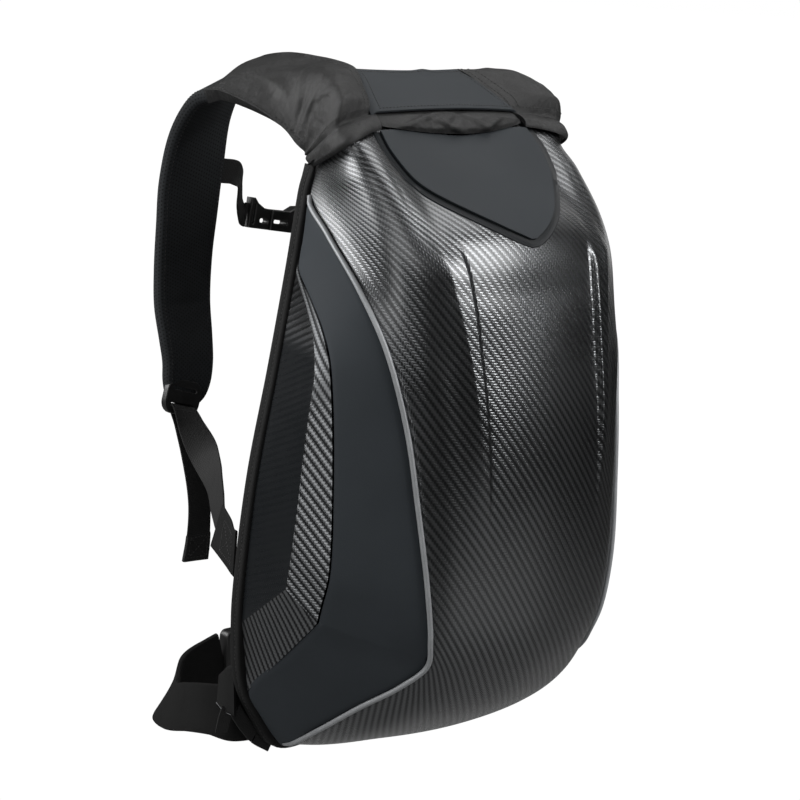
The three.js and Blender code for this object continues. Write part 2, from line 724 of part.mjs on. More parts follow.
for (const [side, sign] of [["left", 1], ["right", -1]]) {
  const half = new THREE.Group();
  half.scale.x = sign;
  bag.add(half);
  add(half, `side_panel_${side}`, sidePanel(), MATTE);
  add(half, `side_inset_${side}`, sideInset(), CARBON);
  add(half, `piping_${side}`, piping(), REFLECTIVE);
  const drop = side === "left" ? 0 : RIGHT_STRAP_DROP;
  add(half, `yoke_${side}`, yoke(drop), NYLON);
  const hanging = new THREE.Group();
  hanging.position.z = -drop;
  half.add(hanging);
  add(hanging, `shoulder_strap_${side}`, shoulderStrap(), MESH);
  add(hanging, `strap_lock_${side}`, ladderLock(), PLASTIC, LOCK);
  const tail = webbing(STRAP_TAIL_ROUTE, STRAP_WEBBING_WIDTH, WEBBING_THICKNESS, 12);
  add(hanging, `strap_tail_${side}`, tail, WEBBING);
  const lower = dropped(66, 134, drop);
  const loadRoute = STRAP_WEBBING_ROUTE.map((row) => ({ ...row, at: lower(vector(row.at)).toArray() }));
  const load = webbing(loadRoute, STRAP_WEBBING_WIDTH, WEBBING_THICKNESS, 26);
  add(half, `strap_webbing_${side}`, load, WEBBING);
  const anchor = webbing(ANCHOR_ROUTE, STRAP_WEBBING_WIDTH, WEBBING_THICKNESS, 4);
  add(half, `strap_anchor_${side}`, anchor, NYLON);
  add(half, `belt_${side}`, webbing(BELT_ROUTE, BELT_WIDTH, BELT_THICKNESS, 24), NYLON);
  add(half, `hip_tab_${side}`, webbing(HIP_TAB_ROUTE, BELT_WIDTH, FABRIC_WALL, 4), NYLON);
  const loop = webbing(BELT_LOOP_ROUTE, BELT_LOOP_WIDTH, FABRIC_WALL, 6);
  add(half, `belt_loop_${side}`, loop, WEBBING);
}

const chestLeft = webbing(STERNUM_LEFT_ROUTE, STERNUM_WIDTH, WEBBING_THICKNESS, 12);
add(bag, "sternum_webbing_left", chestLeft, WEBBING);
const chestRight = webbing(STERNUM_RIGHT_ROUTE, STERNUM_WIDTH, WEBBING_THICKNESS, 8);
add(bag, "sternum_webbing_right", chestRight, WEBBING);
add(bag, "sternum_socket", sternumSocket().geometry, PLASTIC, STERNUM_BUCKLE);
add(bag, "sternum_plug", sternumPlug(), PLASTIC, STERNUM_BUCKLE);
const clasp = extruded(roundedBox(BELT_BUCKLE.length, BELT_BUCKLE.height, 6), BELT_BUCKLE.depth);
add(bag, "belt_buckle", clasp, PLASTIC, BELT_BUCKLE);

export default bag;
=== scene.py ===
# %% [markdown]
# # A motorcycle backpack in Blender
# The real bag is a moulded, carbon-look shell sewn to fabric yokes, padded straps and a waist belt.
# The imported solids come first, as a frame that never moves. Each cell then makes one piece or one
# finish around it. Sizes are the bag's own millimetres, with heights counted from the bottom edge.

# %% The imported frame
import math

import bpy
import numpy as np
from mathutils import Matrix, Vector
from mathutils.bvhtree import BVHTree


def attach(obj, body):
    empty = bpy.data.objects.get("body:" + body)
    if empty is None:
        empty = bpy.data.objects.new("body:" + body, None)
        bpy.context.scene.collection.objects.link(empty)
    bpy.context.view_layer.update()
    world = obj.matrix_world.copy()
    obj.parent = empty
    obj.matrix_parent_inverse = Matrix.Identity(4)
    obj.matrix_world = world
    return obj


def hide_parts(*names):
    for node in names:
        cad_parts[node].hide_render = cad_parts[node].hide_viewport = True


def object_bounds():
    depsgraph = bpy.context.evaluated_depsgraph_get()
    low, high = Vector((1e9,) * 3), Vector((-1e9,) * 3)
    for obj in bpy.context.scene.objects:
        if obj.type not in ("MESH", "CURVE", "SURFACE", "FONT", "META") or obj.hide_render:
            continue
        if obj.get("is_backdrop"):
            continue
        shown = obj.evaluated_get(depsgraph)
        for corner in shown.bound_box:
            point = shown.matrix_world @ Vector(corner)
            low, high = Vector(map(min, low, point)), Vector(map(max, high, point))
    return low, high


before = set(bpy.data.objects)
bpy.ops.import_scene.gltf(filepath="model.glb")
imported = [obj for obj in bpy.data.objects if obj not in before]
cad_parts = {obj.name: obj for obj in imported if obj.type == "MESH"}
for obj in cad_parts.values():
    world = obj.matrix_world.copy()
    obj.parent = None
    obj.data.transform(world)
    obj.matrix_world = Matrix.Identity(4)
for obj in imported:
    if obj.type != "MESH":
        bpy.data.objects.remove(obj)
CAD_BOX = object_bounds()
MM = 0.001
FRAME_ORIGIN = np.array([0.0, 14.0, 250.0])


def to_frame(points):
    """Bag millimetres to the frame's metres."""
    return (np.asarray(points, float) - FRAME_ORIGIN) * MM


print("nodes in the frame:", len(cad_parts))

# %% [markdown]
# ## Camera, floor and light
# The photograph looks down a little at the left front corner of the bag. A long lens far away keeps
# the sides nearly parallel. The camera turns a little aside, which frames the bag right of the
# middle without a lens shift, so that other views stay centred. Softboxes stand where the bag's
# highlights come from. The floor is dim, because the glossy shell mirrors it, but the camera sees
# it as white paper.

# %% Camera
LENS_PIXELS = 2400
IMAGE_PIXELS = 800
ASIDE_PIXELS = 43
SENSOR_WIDTH = 36
AIM = Vector((0.0, -0.074, 0.025))
AIM_DISTANCE = 1.8605
AZIMUTH, ELEVATION, ROLL = (math.radians(angle) for angle in (-45, 10.5, 3))


def photo_camera():
    flat = math.cos(ELEVATION)
    back = Vector((math.sin(AZIMUTH) * flat, -math.cos(AZIMUTH) * flat, math.sin(ELEVATION)))
    level = Vector((math.cos(AZIMUTH), math.sin(AZIMUTH), 0))
    upright = back.cross(level)
    right = level * math.cos(ROLL) + upright * math.sin(ROLL)
    up = upright * math.cos(ROLL) - level * math.sin(ROLL)
    aside = math.atan(ASIDE_PIXELS / LENS_PIXELS)
    data = bpy.data.cameras.new("photo_camera")
    data.sensor_width = SENSOR_WIDTH
    data.lens = SENSOR_WIDTH * LENS_PIXELS / IMAGE_PIXELS
    camera = bpy.data.objects.new("photo_camera", data)
    turned_back = back * math.cos(aside) + right * math.sin(aside)
    turned_right = right * math.cos(aside) - back * math.sin(aside)
    axes = Matrix((turned_right, up, turned_back)).transposed().to_4x4()
    camera.matrix_world = Matrix.Translation(AIM + back * AIM_DISTANCE) @ axes
    bpy.context.scene.collection.objects.link(camera)
    bpy.context.scene.camera = camera
    return camera


camera = photo_camera()
print("lens", camera.data.lens, "mm, from", tuple(round(x, 3) for x in camera.location))

# %% Floor and soft light
FLOOR_DROP = 0.45
FLOOR_SIZE = 90
PALE = (0.93, 0.93, 0.93, 1)
DIM = (0.22, 0.22, 0.22, 1)
DIM_WORLD = 0.02
PAPER = {"roughness": 0.9, "glow": 1.1}
# Each softbox: the way to it from the bag, its distance and sides in metres, and its power in watts
SOFTBOXES = [
    {"name": "back_left", "way": (-0.62, 0.67, 0.41), "distance": 1.9, "sides": (1.6, 0.95), "power": 37},
    {"name": "left", "way": (-0.99, -0.10, -0.03), "distance": 1.8, "sides": (0.6, 1.4), "power": 5.5},
    {"name": "front", "way": (0.37, -0.755, 0.54), "distance": 1.9, "sides": (0.75, 1.1), "power": 28},
    {"name": "top", "way": (0.33, 0.03, 0.95), "distance": 1.6, "sides": (1.3, 1.0), "power": 13},
    {"name": "right", "way": (1.0, 0.3, 0.35), "distance": 1.7, "sides": (0.5, 1.2), "power": 1.5},
    {"name": "fill", "way": (-0.68, -0.45, 0.58), "distance": 2.2, "sides": (1.4, 1.4), "power": 14},
    {"name": "low", "way": (0.2, -0.8, -0.44), "distance": 1.3, "sides": (1.4, 0.6), "power": 1.2},
]


def camera_lit(tree, shader_in, lit, seen):
    """Lets the camera see one shader and every other ray another, for the studio's white."""
    path = tree.nodes.new("ShaderNodeLightPath")
    mix = tree.nodes.new("ShaderNodeMixShader")
    tree.links.new(path.outputs["Is Camera Ray"], mix.inputs[0])
    tree.links.new(lit.outputs[0], mix.inputs[1])
    tree.links.new(seen.outputs[0], mix.inputs[2])
    tree.links.new(mix.outputs[0], shader_in)


def studio_world():
    world = bpy.data.worlds.new("studio")
    world.use_nodes = True
    tree = world.node_tree
    lit = tree.nodes["Background"]
    lit.inputs["Color"].default_value = (1, 1, 1, 1)
    lit.inputs["Strength"].default_value = DIM_WORLD
    seen = tree.nodes.new("ShaderNodeBackground")
    seen.inputs["Color"].default_value = (1, 1, 1, 1)
    camera_lit(tree, tree.nodes["World Output"].inputs["Surface"], lit, seen)
    bpy.context.scene.world = world
    bpy.context.scene.view_settings.view_transform = "Standard"


def studio_floor():
    half = FLOOR_SIZE / 2
    level = CAD_BOX[0].z - FLOOR_DROP
    mesh = bpy.data.meshes.new("floor")
    corners = [(-half, -half, level), (half, -half, level), (half, half, level), (-half, half, level)]
    mesh.from_pydata(corners, [], [(0, 1, 2, 3)])
    floor = bpy.data.objects.new("floor", mesh)
    bpy.context.scene.collection.objects.link(floor)
    paper = bpy.data.materials.new("studio_paper")
    paper.use_nodes = True
    tree = paper.node_tree
    shader = tree.nodes["Principled BSDF"]
    shader.inputs["Base Color"].default_value = DIM
    shader.inputs["Roughness"].default_value = PAPER["roughness"]
    glow = tree.nodes.new("ShaderNodeEmission")
    glow.inputs["Color"].default_value = PALE
    glow.inputs["Strength"].default_value = PAPER["glow"]
    camera_lit(tree, tree.nodes["Material Output"].inputs["Surface"], shader, glow)
    mesh.materials.append(paper)
    floor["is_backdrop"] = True
    return floor


def softbox(name, way, distance, sides, power):
    data = bpy.data.lights.new(f"{name}_softbox", "AREA")
    data.shape = "RECTANGLE"
    data.size, data.size_y = sides
    data.energy = power
    light = bpy.data.objects.new(data.name, data)
    way = Vector(way).normalized()
    light.location = AIM + way * distance
    light.rotation_euler = way.to_track_quat("Z", "Y").to_euler()
    bpy.context.scene.collection.objects.link(light)


studio_world()
floor = studio_floor()
for box in SOFTBOXES:
    softbox(**box)
print("floor at", round(floor.data.vertices[0].co.z, 3), "m and", len(SOFTBOXES), "softboxes")

# %% [markdown]
# ## Curves through tables
# Every seam of the bag is a smooth curve through a few measured points. The tables below start from
# the ones that the solids use, and soft pieces are eased here and there. A centripetal curve passes
# through each point without loops, and here one call can follow many curves at once.

# %% Smooth curves and grids
FLIP = np.array([-1.0, 1.0, 1.0])


def curve_at(points, index):
    """Points of a centripetal curve at part row numbers; points may hold one curve for each number."""
    index = np.atleast_1d(np.asarray(index, float))
    points = np.asarray(points, float)
    if points.ndim == 2:
        points = np.broadcast_to(points, (len(index),) + points.shape)
    first = 2 * points[:, :1] - points[:, 1:2]
    last = 2 * points[:, -1:] - points[:, -2:-1]
    points = np.concatenate([first, points, last], axis=1)
    step = np.clip(np.floor(index).astype(int), 0, points.shape[1] - 4)
    way = (index - step)[:, None]
    rows = np.arange(len(index))
    before, start, end, after = (points[rows, step + k] for k in range(4))

    def knot(a, b):
        return np.maximum(np.sum((b - a) ** 2, axis=1) ** 0.25, 1e-4)[:, None]

    k0, k1, k2 = knot(before, start), knot(start, end), knot(end, after)
    leave = ((start - before) / k0 - (end - before) / (k0 + k1) + (end - start) / k1) * k1
    arrive = ((end - start) / k1 - (after - start) / (k1 + k2) + (after - end) / k2) * k1
    bend = 3 * (end - start) - 2 * leave - arrive
    twist = 2 * (start - end) + leave + arrive
    return start + leave * way + bend * way**2 + twist * way**3


def refine(grid, rows, columns):
    """A grid of points made finer along both ways with the same smooth curves."""
    tall, wide = grid.shape[:2]
    down = np.linspace(0, tall - 1, rows)
    tall_grid = np.stack([curve_at(grid[:, j], down) for j in range(wide)], axis=1)
    across = np.linspace(0, wide - 1, columns)
    return np.stack([curve_at(row, across) for row in tall_grid])


def unit(vectors):
    """The same directions, each of length one."""
    return vectors / np.maximum(np.linalg.norm(vectors, axis=-1, keepdims=True), 1e-9)


def normals_of(grid):
    """Outward unit normals of a grid whose rows run down and whose columns run to the right."""
    return unit(np.cross(np.gradient(grid, axis=0), np.gradient(grid, axis=1)))


def lengths(points):
    """Distance along a row of points, from its first one."""
    steps = np.linalg.norm(np.diff(points, axis=0), axis=1)
    return np.concatenate([[0.0], np.cumsum(steps)])


def flat_of(grid, middle=None):
    """The flat cloth coordinates of a grid in millimetres: across from one column, and up along it."""
    middle = grid.shape[1] // 2 if middle is None else middle
    across = np.stack([lengths(row) for row in grid])
    across -= across[:, middle : middle + 1]
    up = -lengths(grid[:, middle])
    return np.stack([across, np.broadcast_to(up[:, None], across.shape)], axis=-1)


def smooth(low, high, value):
    """A share that eases from 0 at low to 1 at high."""
    way = np.clip((np.asarray(value, float) - low) / (high - low), 0, 1)
    return way * way * (3 - 2 * way)


def mirrored(grid):
    """The right-hand copy of a left-hand grid, its columns turned round to keep it facing out."""
    return grid[:, ::-1] * FLIP


print("a curve through three points passes", curve_at([[0, 0, 0], [1, 1, 0], [2, 0, 0]], 0.5).round(3))

# %% Meshes from grids and rings


def mesh_object(name, points, faces, flat, sharp=40):
    """An object from points in bag millimetres, with a map of flat millimetres for each face corner."""
    mesh = bpy.data.meshes.new(name)
    mesh.from_pydata(to_frame(points).tolist(), [], faces)
    layer = mesh.uv_layers.new(name="flat")
    layer.data.foreach_set("uv", (np.concatenate(flat) * MM).astype(np.float32).ravel())
    mesh.shade_smooth()
    mesh.set_sharp_from_angle(angle=math.radians(sharp))
    made = bpy.data.objects.new(name, mesh)
    bpy.context.scene.collection.objects.link(made)
    return made


def facing_out(points, faces):
    """True where closed faces point outwards, by the sign of the volume they enclose."""
    corners = [(points[f[0]], points[f[k]], points[f[k + 1]]) for f in faces for k in range(1, len(f) - 1)]
    a, b, c = (np.array(side) for side in zip(*corners))
    return np.sum(a * np.cross(b, c)) > 0


def slab(name, outer, inner, flat=None, sharp=40):
    """A closed wall between two grids."""
    rows, columns = outer.shape[:2]
    count = rows * columns
    points = np.concatenate([outer.reshape(-1, 3), inner.reshape(-1, 3)])
    flat = (flat_of(outer) if flat is None else flat).reshape(-1, 2)
    corner = (np.arange(rows - 1)[:, None] * columns + np.arange(columns - 1)).ravel()
    front = np.stack([corner, corner + columns, corner + columns + 1, corner + 1], axis=1)
    index = np.arange(count).reshape(rows, columns)
    loop = np.concatenate([index[0], index[1:, -1], index[-1, -2::-1], index[-2:0:-1, 0]])
    after = np.roll(loop, -1)
    rim = np.stack([loop, after, after + count, loop + count], axis=1)
    faces = np.concatenate([front, front[:, ::-1] + count, rim])
    if not facing_out(points, faces):
        faces = faces[:, ::-1]
    return mesh_object(name, points, faces.tolist(), flat[faces % count], sharp)


def wall(name, grid, depth, flat=None, sharp=40):
    """A wall whose outer face is the grid and whose depth goes inwards."""
    depth = np.broadcast_to(np.asarray(depth, float), grid.shape[:2])
    return slab(name, grid, grid - normals_of(grid) * depth[..., None], flat, sharp)


def loft(name, rings, around=None, along=None, sharp=40):
    """A closed tube through rings of the same count, its ends capped by fans."""
    rings = np.asarray(rings, float)
    count, sides = rings.shape[:2]
    middle = rings[count // 2]
    around = lengths(np.concatenate([middle, middle[:1]])) if around is None else around
    along = lengths(rings.mean(axis=1)) if along is None else along
    points = np.concatenate([rings.reshape(-1, 3), [rings[0].mean(axis=0), rings[-1].mean(axis=0)]])
    faces, flat = [], []
    for i in range(count - 1):
        for j in range(sides):
            after = (j + 1) % sides
            faces.append([i * sides + j, i * sides + after, (i + 1) * sides + after, (i + 1) * sides + j])
            flat.append([[around[j], along[i]], [around[j + 1], along[i]]])
            flat[-1] += [[around[j + 1], along[i + 1]], [around[j], along[i + 1]]]
    for j in range(sides):
        after = (j + 1) % sides
        end = (count - 1) * sides
        faces += [[count * sides, after, j], [count * sides + 1, end + j, end + after]]
        flat += [[[around[j], along[0]]] * 3, [[around[j], along[-1]]] * 3]
    if not facing_out(points, faces):
        faces = [face[::-1] for face in faces]
        flat = [corner[::-1] for corner in flat]
    return mesh_object(name, points, faces, [np.array(f) for f in flat], sharp)


def settled(made):
    """Applies an object's modifiers, so that only a plain mesh is left."""
    graph = bpy.context.evaluated_depsgraph_get()
    mesh = bpy.data.meshes.new_from_object(made.evaluated_get(graph))
    made.modifiers.clear()
    made.data = mesh
    mesh.name = made.name
    return made


def soften(made, width, segments=2, angle=50):
    """Rounds the hard edges of a piece by a bevel of that width in millimetres."""
    bevel = made.modifiers.new("round_edges", "BEVEL")
    bevel.width = width * MM
    bevel.segments = segments
    bevel.limit_method = "ANGLE"
    bevel.angle_limit = math.radians(angle)
    settled(made)
    made.data.shade_smooth()
    made.data.set_sharp_from_angle(angle=math.radians(60))
    return made


def round_creases(made, lines, width, segments=3):
    """Rounds only the creases that run along the given lines of point numbers."""
    pairs = {frozenset(pair) for line in lines for pair in zip(line[:-1], line[1:])}
    weight = made.data.attributes.new("bevel_weight_edge", "FLOAT", "EDGE")
    for edge in made.data.edges:
        weight.data[edge.index].value = float(frozenset(edge.vertices) in pairs)
    bevel = made.modifiers.new("round_creases", "BEVEL")
    bevel.width = width * MM
    bevel.segments = segments
    bevel.limit_method = "WEIGHT"
    return settled(made)


def fitted(made, finishes, nodes):
    """Gives a piece its finishes, lets it stand for its solids, and fixes it to the bag."""
    made.data.materials.clear()
    for finish in finishes if isinstance(finishes, (list, tuple)) else [finishes]:
        made.data.materials.append(finish)
    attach(made, "root")
    if nodes:
        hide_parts(*nodes)
    return made


print("mesh makers ready")

# %% [markdown]
# ## Finishes
# The bag has one colour, black, so its materials differ by weave, gloss and grain instead. The
# effects that several of them share are node groups, built once: a woven pattern that is a twill or
# a plain weave by its numbers, soft blotches, a pebbled grain and a knitted mesh. Each material
# keeps its own Principled shader and places the groups with its own sizes. The carbon-look film is
# embossed, so its tows get a relief, and each set of them catches the light from another side.

# %% Node helpers


def join(tree, socket, value):
    """Links a socket, or sets it where the value is a plain number or colour."""
    if isinstance(value, bpy.types.NodeSocket):
        tree.links.new(value, socket)
    else:
        socket.default_value = value


def put(tree, kind, inputs=(), **settings):
    made = tree.nodes.new(kind)
    for name, value in settings.items():
        setattr(made, name, value)
    for key, value in dict(inputs).items():
        join(tree, made.inputs[key], value)
    return made


def maths(tree, operation, *values):
    return put(tree, "ShaderNodeMath", dict(enumerate(values)), operation=operation).outputs[0]


def between(tree, share, low, high):
    """A number that runs from low to high as share runs from 0 to 1."""
    return maths(tree, "MULTIPLY_ADD", share, high - low, low)


def tint(tree, share, first, second):
    """A colour between two, by a share."""
    made = tree.nodes.new("ShaderNodeMix")
    made.data_type = "RGBA"
    for place, value in ((0, share), (6, first), (7, second)):
        join(tree, made.inputs[place], value)
    return made.outputs[2]


def effect(name, takes, gives):
    """A new shader group with named inputs and outputs."""
    tree = bpy.data.node_groups.new(name, "ShaderNodeTree")
    for socket, value in takes.items():
        kind = "NodeSocketVector" if value is None else "NodeSocketFloat"
        made = tree.interface.new_socket(socket, in_out="INPUT", socket_type=kind)
        if value is not None:
            made.default_value = value
    for socket in gives:
        tree.interface.new_socket(socket, in_out="OUTPUT", socket_type="NodeSocketFloat")
    return tree, tree.nodes.new("NodeGroupInput").outputs, tree.nodes.new("NodeGroupOutput").inputs


def placed(tree, group, **inputs):
    """A group in a material, with its inputs; the names' underscores stand for spaces."""
    made = tree.nodes.new("ShaderNodeGroup")
    made.node_tree = group
    for name, value in inputs.items():
        join(tree, made.inputs[name.replace("_", " ")], value)
    return made.outputs


def grey(level, cool=0.0):
    """A linear grey, a little bluer by cool."""
    return (level * (1 - cool), level, level * (1 + cool), 1)


print("node helpers ready")

# %% Shared effects


def weave_effect():
    """Over-and-under threads: each passes over as many as Over says, of every Repeat."""
    takes = {"Flat": None, "Thread": 0.002, "Turn": 0.0, "Repeat": 4.0, "Over": 2.0, "Stripe": 0.0}
    tree, given, out = effect("woven_threads", takes, ["Upright", "Height"])
    flat_turn = {"Vector": given["Flat"], "Angle": given["Turn"]}
    turned = put(tree, "ShaderNodeVectorRotate", flat_turn, rotation_type="Z_AXIS")
    axes = put(tree, "ShaderNodeSeparateXYZ", {0: turned.outputs[0]}).outputs
    x, y = (maths(tree, "DIVIDE", axes[k], given["Thread"]) for k in (0, 1))
    cell_x, cell_y = maths(tree, "FLOOR", x), maths(tree, "FLOOR", y)
    part_x, part_y = maths(tree, "FRACT", x), maths(tree, "FRACT", y)
    place = maths(tree, "FLOORED_MODULO", maths(tree, "ADD", cell_x, cell_y), given["Repeat"])
    upright = maths(tree, "LESS_THAN", place, given["Over"])
    lying = maths(tree, "SUBTRACT", 1.0, upright)
    swap = maths(tree, "SUBTRACT", part_x, part_y)
    across = maths(tree, "MULTIPLY_ADD", swap, upright, part_y)
    along = maths(tree, "MULTIPLY_ADD", swap, lying, part_y)
    start = maths(tree, "SUBTRACT", place, maths(tree, "MULTIPLY", lying, given["Over"]))
    run = maths(tree, "DIVIDE", maths(tree, "ADD", start, along), given["Over"])
    sides = maths(tree, "POWER", maths(tree, "ABSOLUTE", between(tree, across, -1, 1)), 2.2)
    ends = maths(tree, "POWER", maths(tree, "ABSOLUTE", between(tree, run, -1, 1)), 4.0)
    within = maths(tree, "SUBTRACT", 1.0, sides)
    crown = maths(tree, "MULTIPLY", within, maths(tree, "SUBTRACT", 1.0, ends))
    raised = maths(tree, "MULTIPLY", upright, between(tree, crown, 0.6, 1.0))
    diagonal = maths(tree, "SUBTRACT", maths(tree, "ADD", x, y), 1.5)
    phase = maths(tree, "DIVIDE", diagonal, given["Repeat"])
    stripe = between(tree, maths(tree, "COSINE", maths(tree, "MULTIPLY", phase, 2 * math.pi)), 0.5, 1.0)
    even = maths(tree, "MULTIPLY", stripe, given["Stripe"])
    rest = maths(tree, "MULTIPLY", raised, maths(tree, "SUBTRACT", 1.0, given["Stripe"]))
    join(tree, out["Upright"], maths(tree, "ADD", even, rest))
    join(tree, out["Height"], crown)
    return tree


def blotch_effect():
    """Soft uneven patches, as handling and light dust leave them."""
    tree, given, out = effect("soft_blotches", {"Place": None, "Size": 0.03}, ["Share"])
    scale = maths(tree, "DIVIDE", 1.0, given["Size"])
    noise = put(tree, "ShaderNodeTexNoise", {"Vector": given["Place"], "Scale": scale, "Detail": 3.0})
    spread = put(tree, "ShaderNodeMapRange", {0: noise.outputs[0], 1: 0.3, 2: 0.7}, clamp=True)
    join(tree, out["Share"], spread.outputs[0])
    return tree


def pebble_effect():
    """The fine pebbled grain of moulded plastic and coated cloth."""
    tree, given, out = effect("pebbled_grain", {"Place": None, "Size": 0.001}, ["Height"])
    scale = maths(tree, "DIVIDE", 1.0, given["Size"])
    where = {"Vector": given["Place"], "Scale": scale}
    cells = put(tree, "ShaderNodeTexVoronoi", where, feature="SMOOTH_F1")
    join(tree, out["Height"], cells.outputs["Distance"])
    return tree


def knit_effect():
    """A warp-knitted mesh: rows of small round holes, every other row set between the first."""
    tree, given, out = effect("knitted_mesh", {"Flat": None, "Pitch": 0.003}, ["Hole"])
    turns = maths(tree, "DIVIDE", 2 * math.pi, given["Pitch"])
    axes = put(tree, "ShaderNodeSeparateXYZ", {0: given["Flat"]}).outputs
    x, y = (maths(tree, "MULTIPLY", axes[k], turns) for k in (0, 1))
    slanted = maths(tree, "MULTIPLY", y, math.sqrt(3) / 2)
    first = maths(tree, "COSINE", x)
    second = maths(tree, "COSINE", maths(tree, "MULTIPLY_ADD", x, 0.5, slanted))
    other_way = maths(tree, "MULTIPLY", slanted, -1.0)
    third = maths(tree, "COSINE", maths(tree, "MULTIPLY_ADD", x, 0.5, other_way))
    total = maths(tree, "ADD", maths(tree, "ADD", first, second), third)
    hole = put(tree, "ShaderNodeMapRange", {0: total, 1: 0.6, 2: 2.2}, clamp=True)
    join(tree, out["Hole"], hole.outputs[0])
    return tree


WEAVE, BLOTCHES, PEBBLE, KNIT = weave_effect(), blotch_effect(), pebble_effect(), knit_effect()
print("shared effects:", [group.name for group in (WEAVE, BLOTCHES, PEBBLE, KNIT)])

# %% Materials
PLAIN_WEAVE = {"Repeat": 2.0, "Over": 1.0}
TWILL = {"Repeat": 4.0, "Over": 2.0}
# The film's tows in metres and degrees, with their greys on the lacquered shell and on the bare insets
TOWS = {"width": 0.0019, "slant": 7, "rise": 0.00013, "lying": (0.13, 0.19), "upright": (0.026, 0.010)}
CREASE = {"size": 0.022, "depth": 0.0016}


def finish(name, **constants):
    """A material with its shader's constant sockets set."""
    made = bpy.data.materials.new(name)
    made.use_nodes = True
    tree = made.node_tree
    shader = tree.nodes["Principled BSDF"].inputs
    for socket, value in constants.items():
        shader[socket.replace("_", " ")].default_value = value
    flat = put(tree, "ShaderNodeUVMap", uv_map="flat").outputs[0]
    place = tree.nodes.new("ShaderNodeTexCoord").outputs["Object"]
    return made, tree, shader, flat, place


def relief(tree, shader, height, depth, strength=1.0, under=None):
    """Lets a height bend the light on the surface, over another relief; depth is in metres."""
    bump = put(tree, "ShaderNodeBump", {"Height": height, "Distance": depth, "Strength": strength})
    if under:
        join(tree, bump.inputs["Normal"], under)
    join(tree, shader["Normal"], bump.outputs[0])


def carbon_film():
    made, tree, shader, flat, place = finish("carbon_film", Coat_Roughness=0.26)
    slant = math.radians(TOWS["slant"])
    weave = placed(tree, WEAVE, Flat=flat, Thread=TOWS["width"], Turn=slant, Stripe=0.55, **TWILL)
    # The plain share is painted shade: where it is one, the film is dark grey, without tows, metal or
    # relief
    plain, dull, bare = [
        put(tree, "ShaderNodeAttribute", attribute_name=name).outputs["Fac"]
        for name in ("plain", "dull", "bare")
    ]
    film = maths(tree, "SUBTRACT", 1.0, plain)
    patch = placed(tree, BLOTCHES, Place=place, Size=0.05)["Share"]
    upright = tint(tree, bare, *(grey(level, 0.05) for level in TOWS["upright"]))
    lying = tint(tree, bare, *(grey(level, 0.03) for level in TOWS["lying"]))
    tows = tint(tree, weave["Upright"], lying, upright)
    join(tree, shader["Base Color"], tint(tree, plain, tows, grey(0.008, 0.15)))
    join(tree, shader["Metallic"], maths(tree, "MULTIPLY", film, 0.93))
    gloss = maths(tree, "MULTIPLY_ADD", weave["Upright"], 0.03, between(tree, patch, 0.25, 0.29))
    join(tree, shader["Roughness"], maths(tree, "MULTIPLY_ADD", dull, 0.35, gloss))
    join(tree, shader["Coat Weight"], between(tree, bare, 0.6, 0.0))
    relief(tree, shader, maths(tree, "MULTIPLY", film, weave["Height"]), TOWS["rise"])
    return made


def coated_panel(name, level, roughness, grain, gloss):
    made, tree, shader, flat, place = finish(name, Specular_IOR_Level=gloss)
    patch = placed(tree, BLOTCHES, Place=place, Size=0.06)["Share"]
    join(tree, shader["Base Color"], tint(tree, patch, grey(level, 0.13), grey(level * 1.15, 0.13)))
    join(tree, shader["Roughness"], between(tree, patch, roughness, roughness + 0.06))
    relief(tree, shader, placed(tree, PEBBLE, Place=place, Size=grain)["Height"], 0.00012, 0.35)
    return made


def creases(tree, place):
    """The shallow creases of thin cloth that is sewn over padding."""
    height = placed(tree, BLOTCHES, Place=place, Size=CREASE["size"])["Share"]
    return put(tree, "ShaderNodeBump", {"Height": height, "Distance": CREASE["depth"]}).outputs[0]


def woven_cloth(name, pattern, level, thread, roughness, depth, gloss, creased=False):
    made, tree, shader, flat, place = finish(name, Specular_IOR_Level=gloss)
    weave = placed(tree, WEAVE, Flat=flat, Thread=thread, **pattern)
    patch = placed(tree, BLOTCHES, Place=place, Size=0.02)["Share"]
    worn = tint(tree, patch, grey(level), grey(level * 1.3))
    # Where the threads dip, the colour is painted darker, as shade between the threads
    join(tree, shader["Base Color"], tint(tree, weave["Height"], grey(level * 0.45), worn))
    join(tree, shader["Roughness"], between(tree, patch, roughness, roughness + 0.08))
    relief(tree, shader, weave["Height"], depth, 0.8, creases(tree, place) if creased else None)
    return made


def knitted_cloth(name, level, pitch):
    made, tree, shader, flat, place = finish(name, Specular_IOR_Level=0.15)
    hole = placed(tree, KNIT, Flat=flat, Pitch=pitch)["Hole"]
    patch = placed(tree, BLOTCHES, Place=place, Size=0.04)["Share"]
    yarn = tint(tree, patch, grey(level, 0.08), grey(level * 1.3, 0.08))
    # The holes are painted darker, as the shade inside them
    join(tree, shader["Base Color"], tint(tree, hole, yarn, grey(level * 0.5)))
    join(tree, shader["Roughness"], between(tree, hole, 0.85, 0.95))
    relief(tree, shader, maths(tree, "SUBTRACT", 1.0, hole), 0.0006, 0.5)
    return made


def moulded_plastic():
    made, tree, shader, flat, place = finish("moulded_plastic", Specular_IOR_Level=0.45)
    patch = placed(tree, BLOTCHES, Place=place, Size=0.015)["Share"]
    join(tree, shader["Base Color"], tint(tree, patch, grey(0.009), grey(0.014)))
    join(tree, shader["Roughness"], between(tree, patch, 0.36, 0.48))
    relief(tree, shader, placed(tree, PEBBLE, Place=place, Size=0.0008)["Height"], 0.0001, 0.3)
    return made


def reflective_cloth():
    made, tree, shader, flat, place = finish("reflective_cloth", Metallic=0.25)
    beads = placed(tree, PEBBLE, Place=place, Size=0.0007)["Height"]
    patch = placed(tree, BLOTCHES, Place=place, Size=0.012)["Share"]
    silver = tint(tree, patch, grey(0.30, 0.03), grey(0.36, 0.03))
    join(tree, shader["Base Color"], tint(tree, beads, silver, grey(0.24, 0.03)))
    join(tree, shader["Roughness"], between(tree, patch, 0.42, 0.5))
    relief(tree, shader, beads, 0.00015, 0.5)
    return made


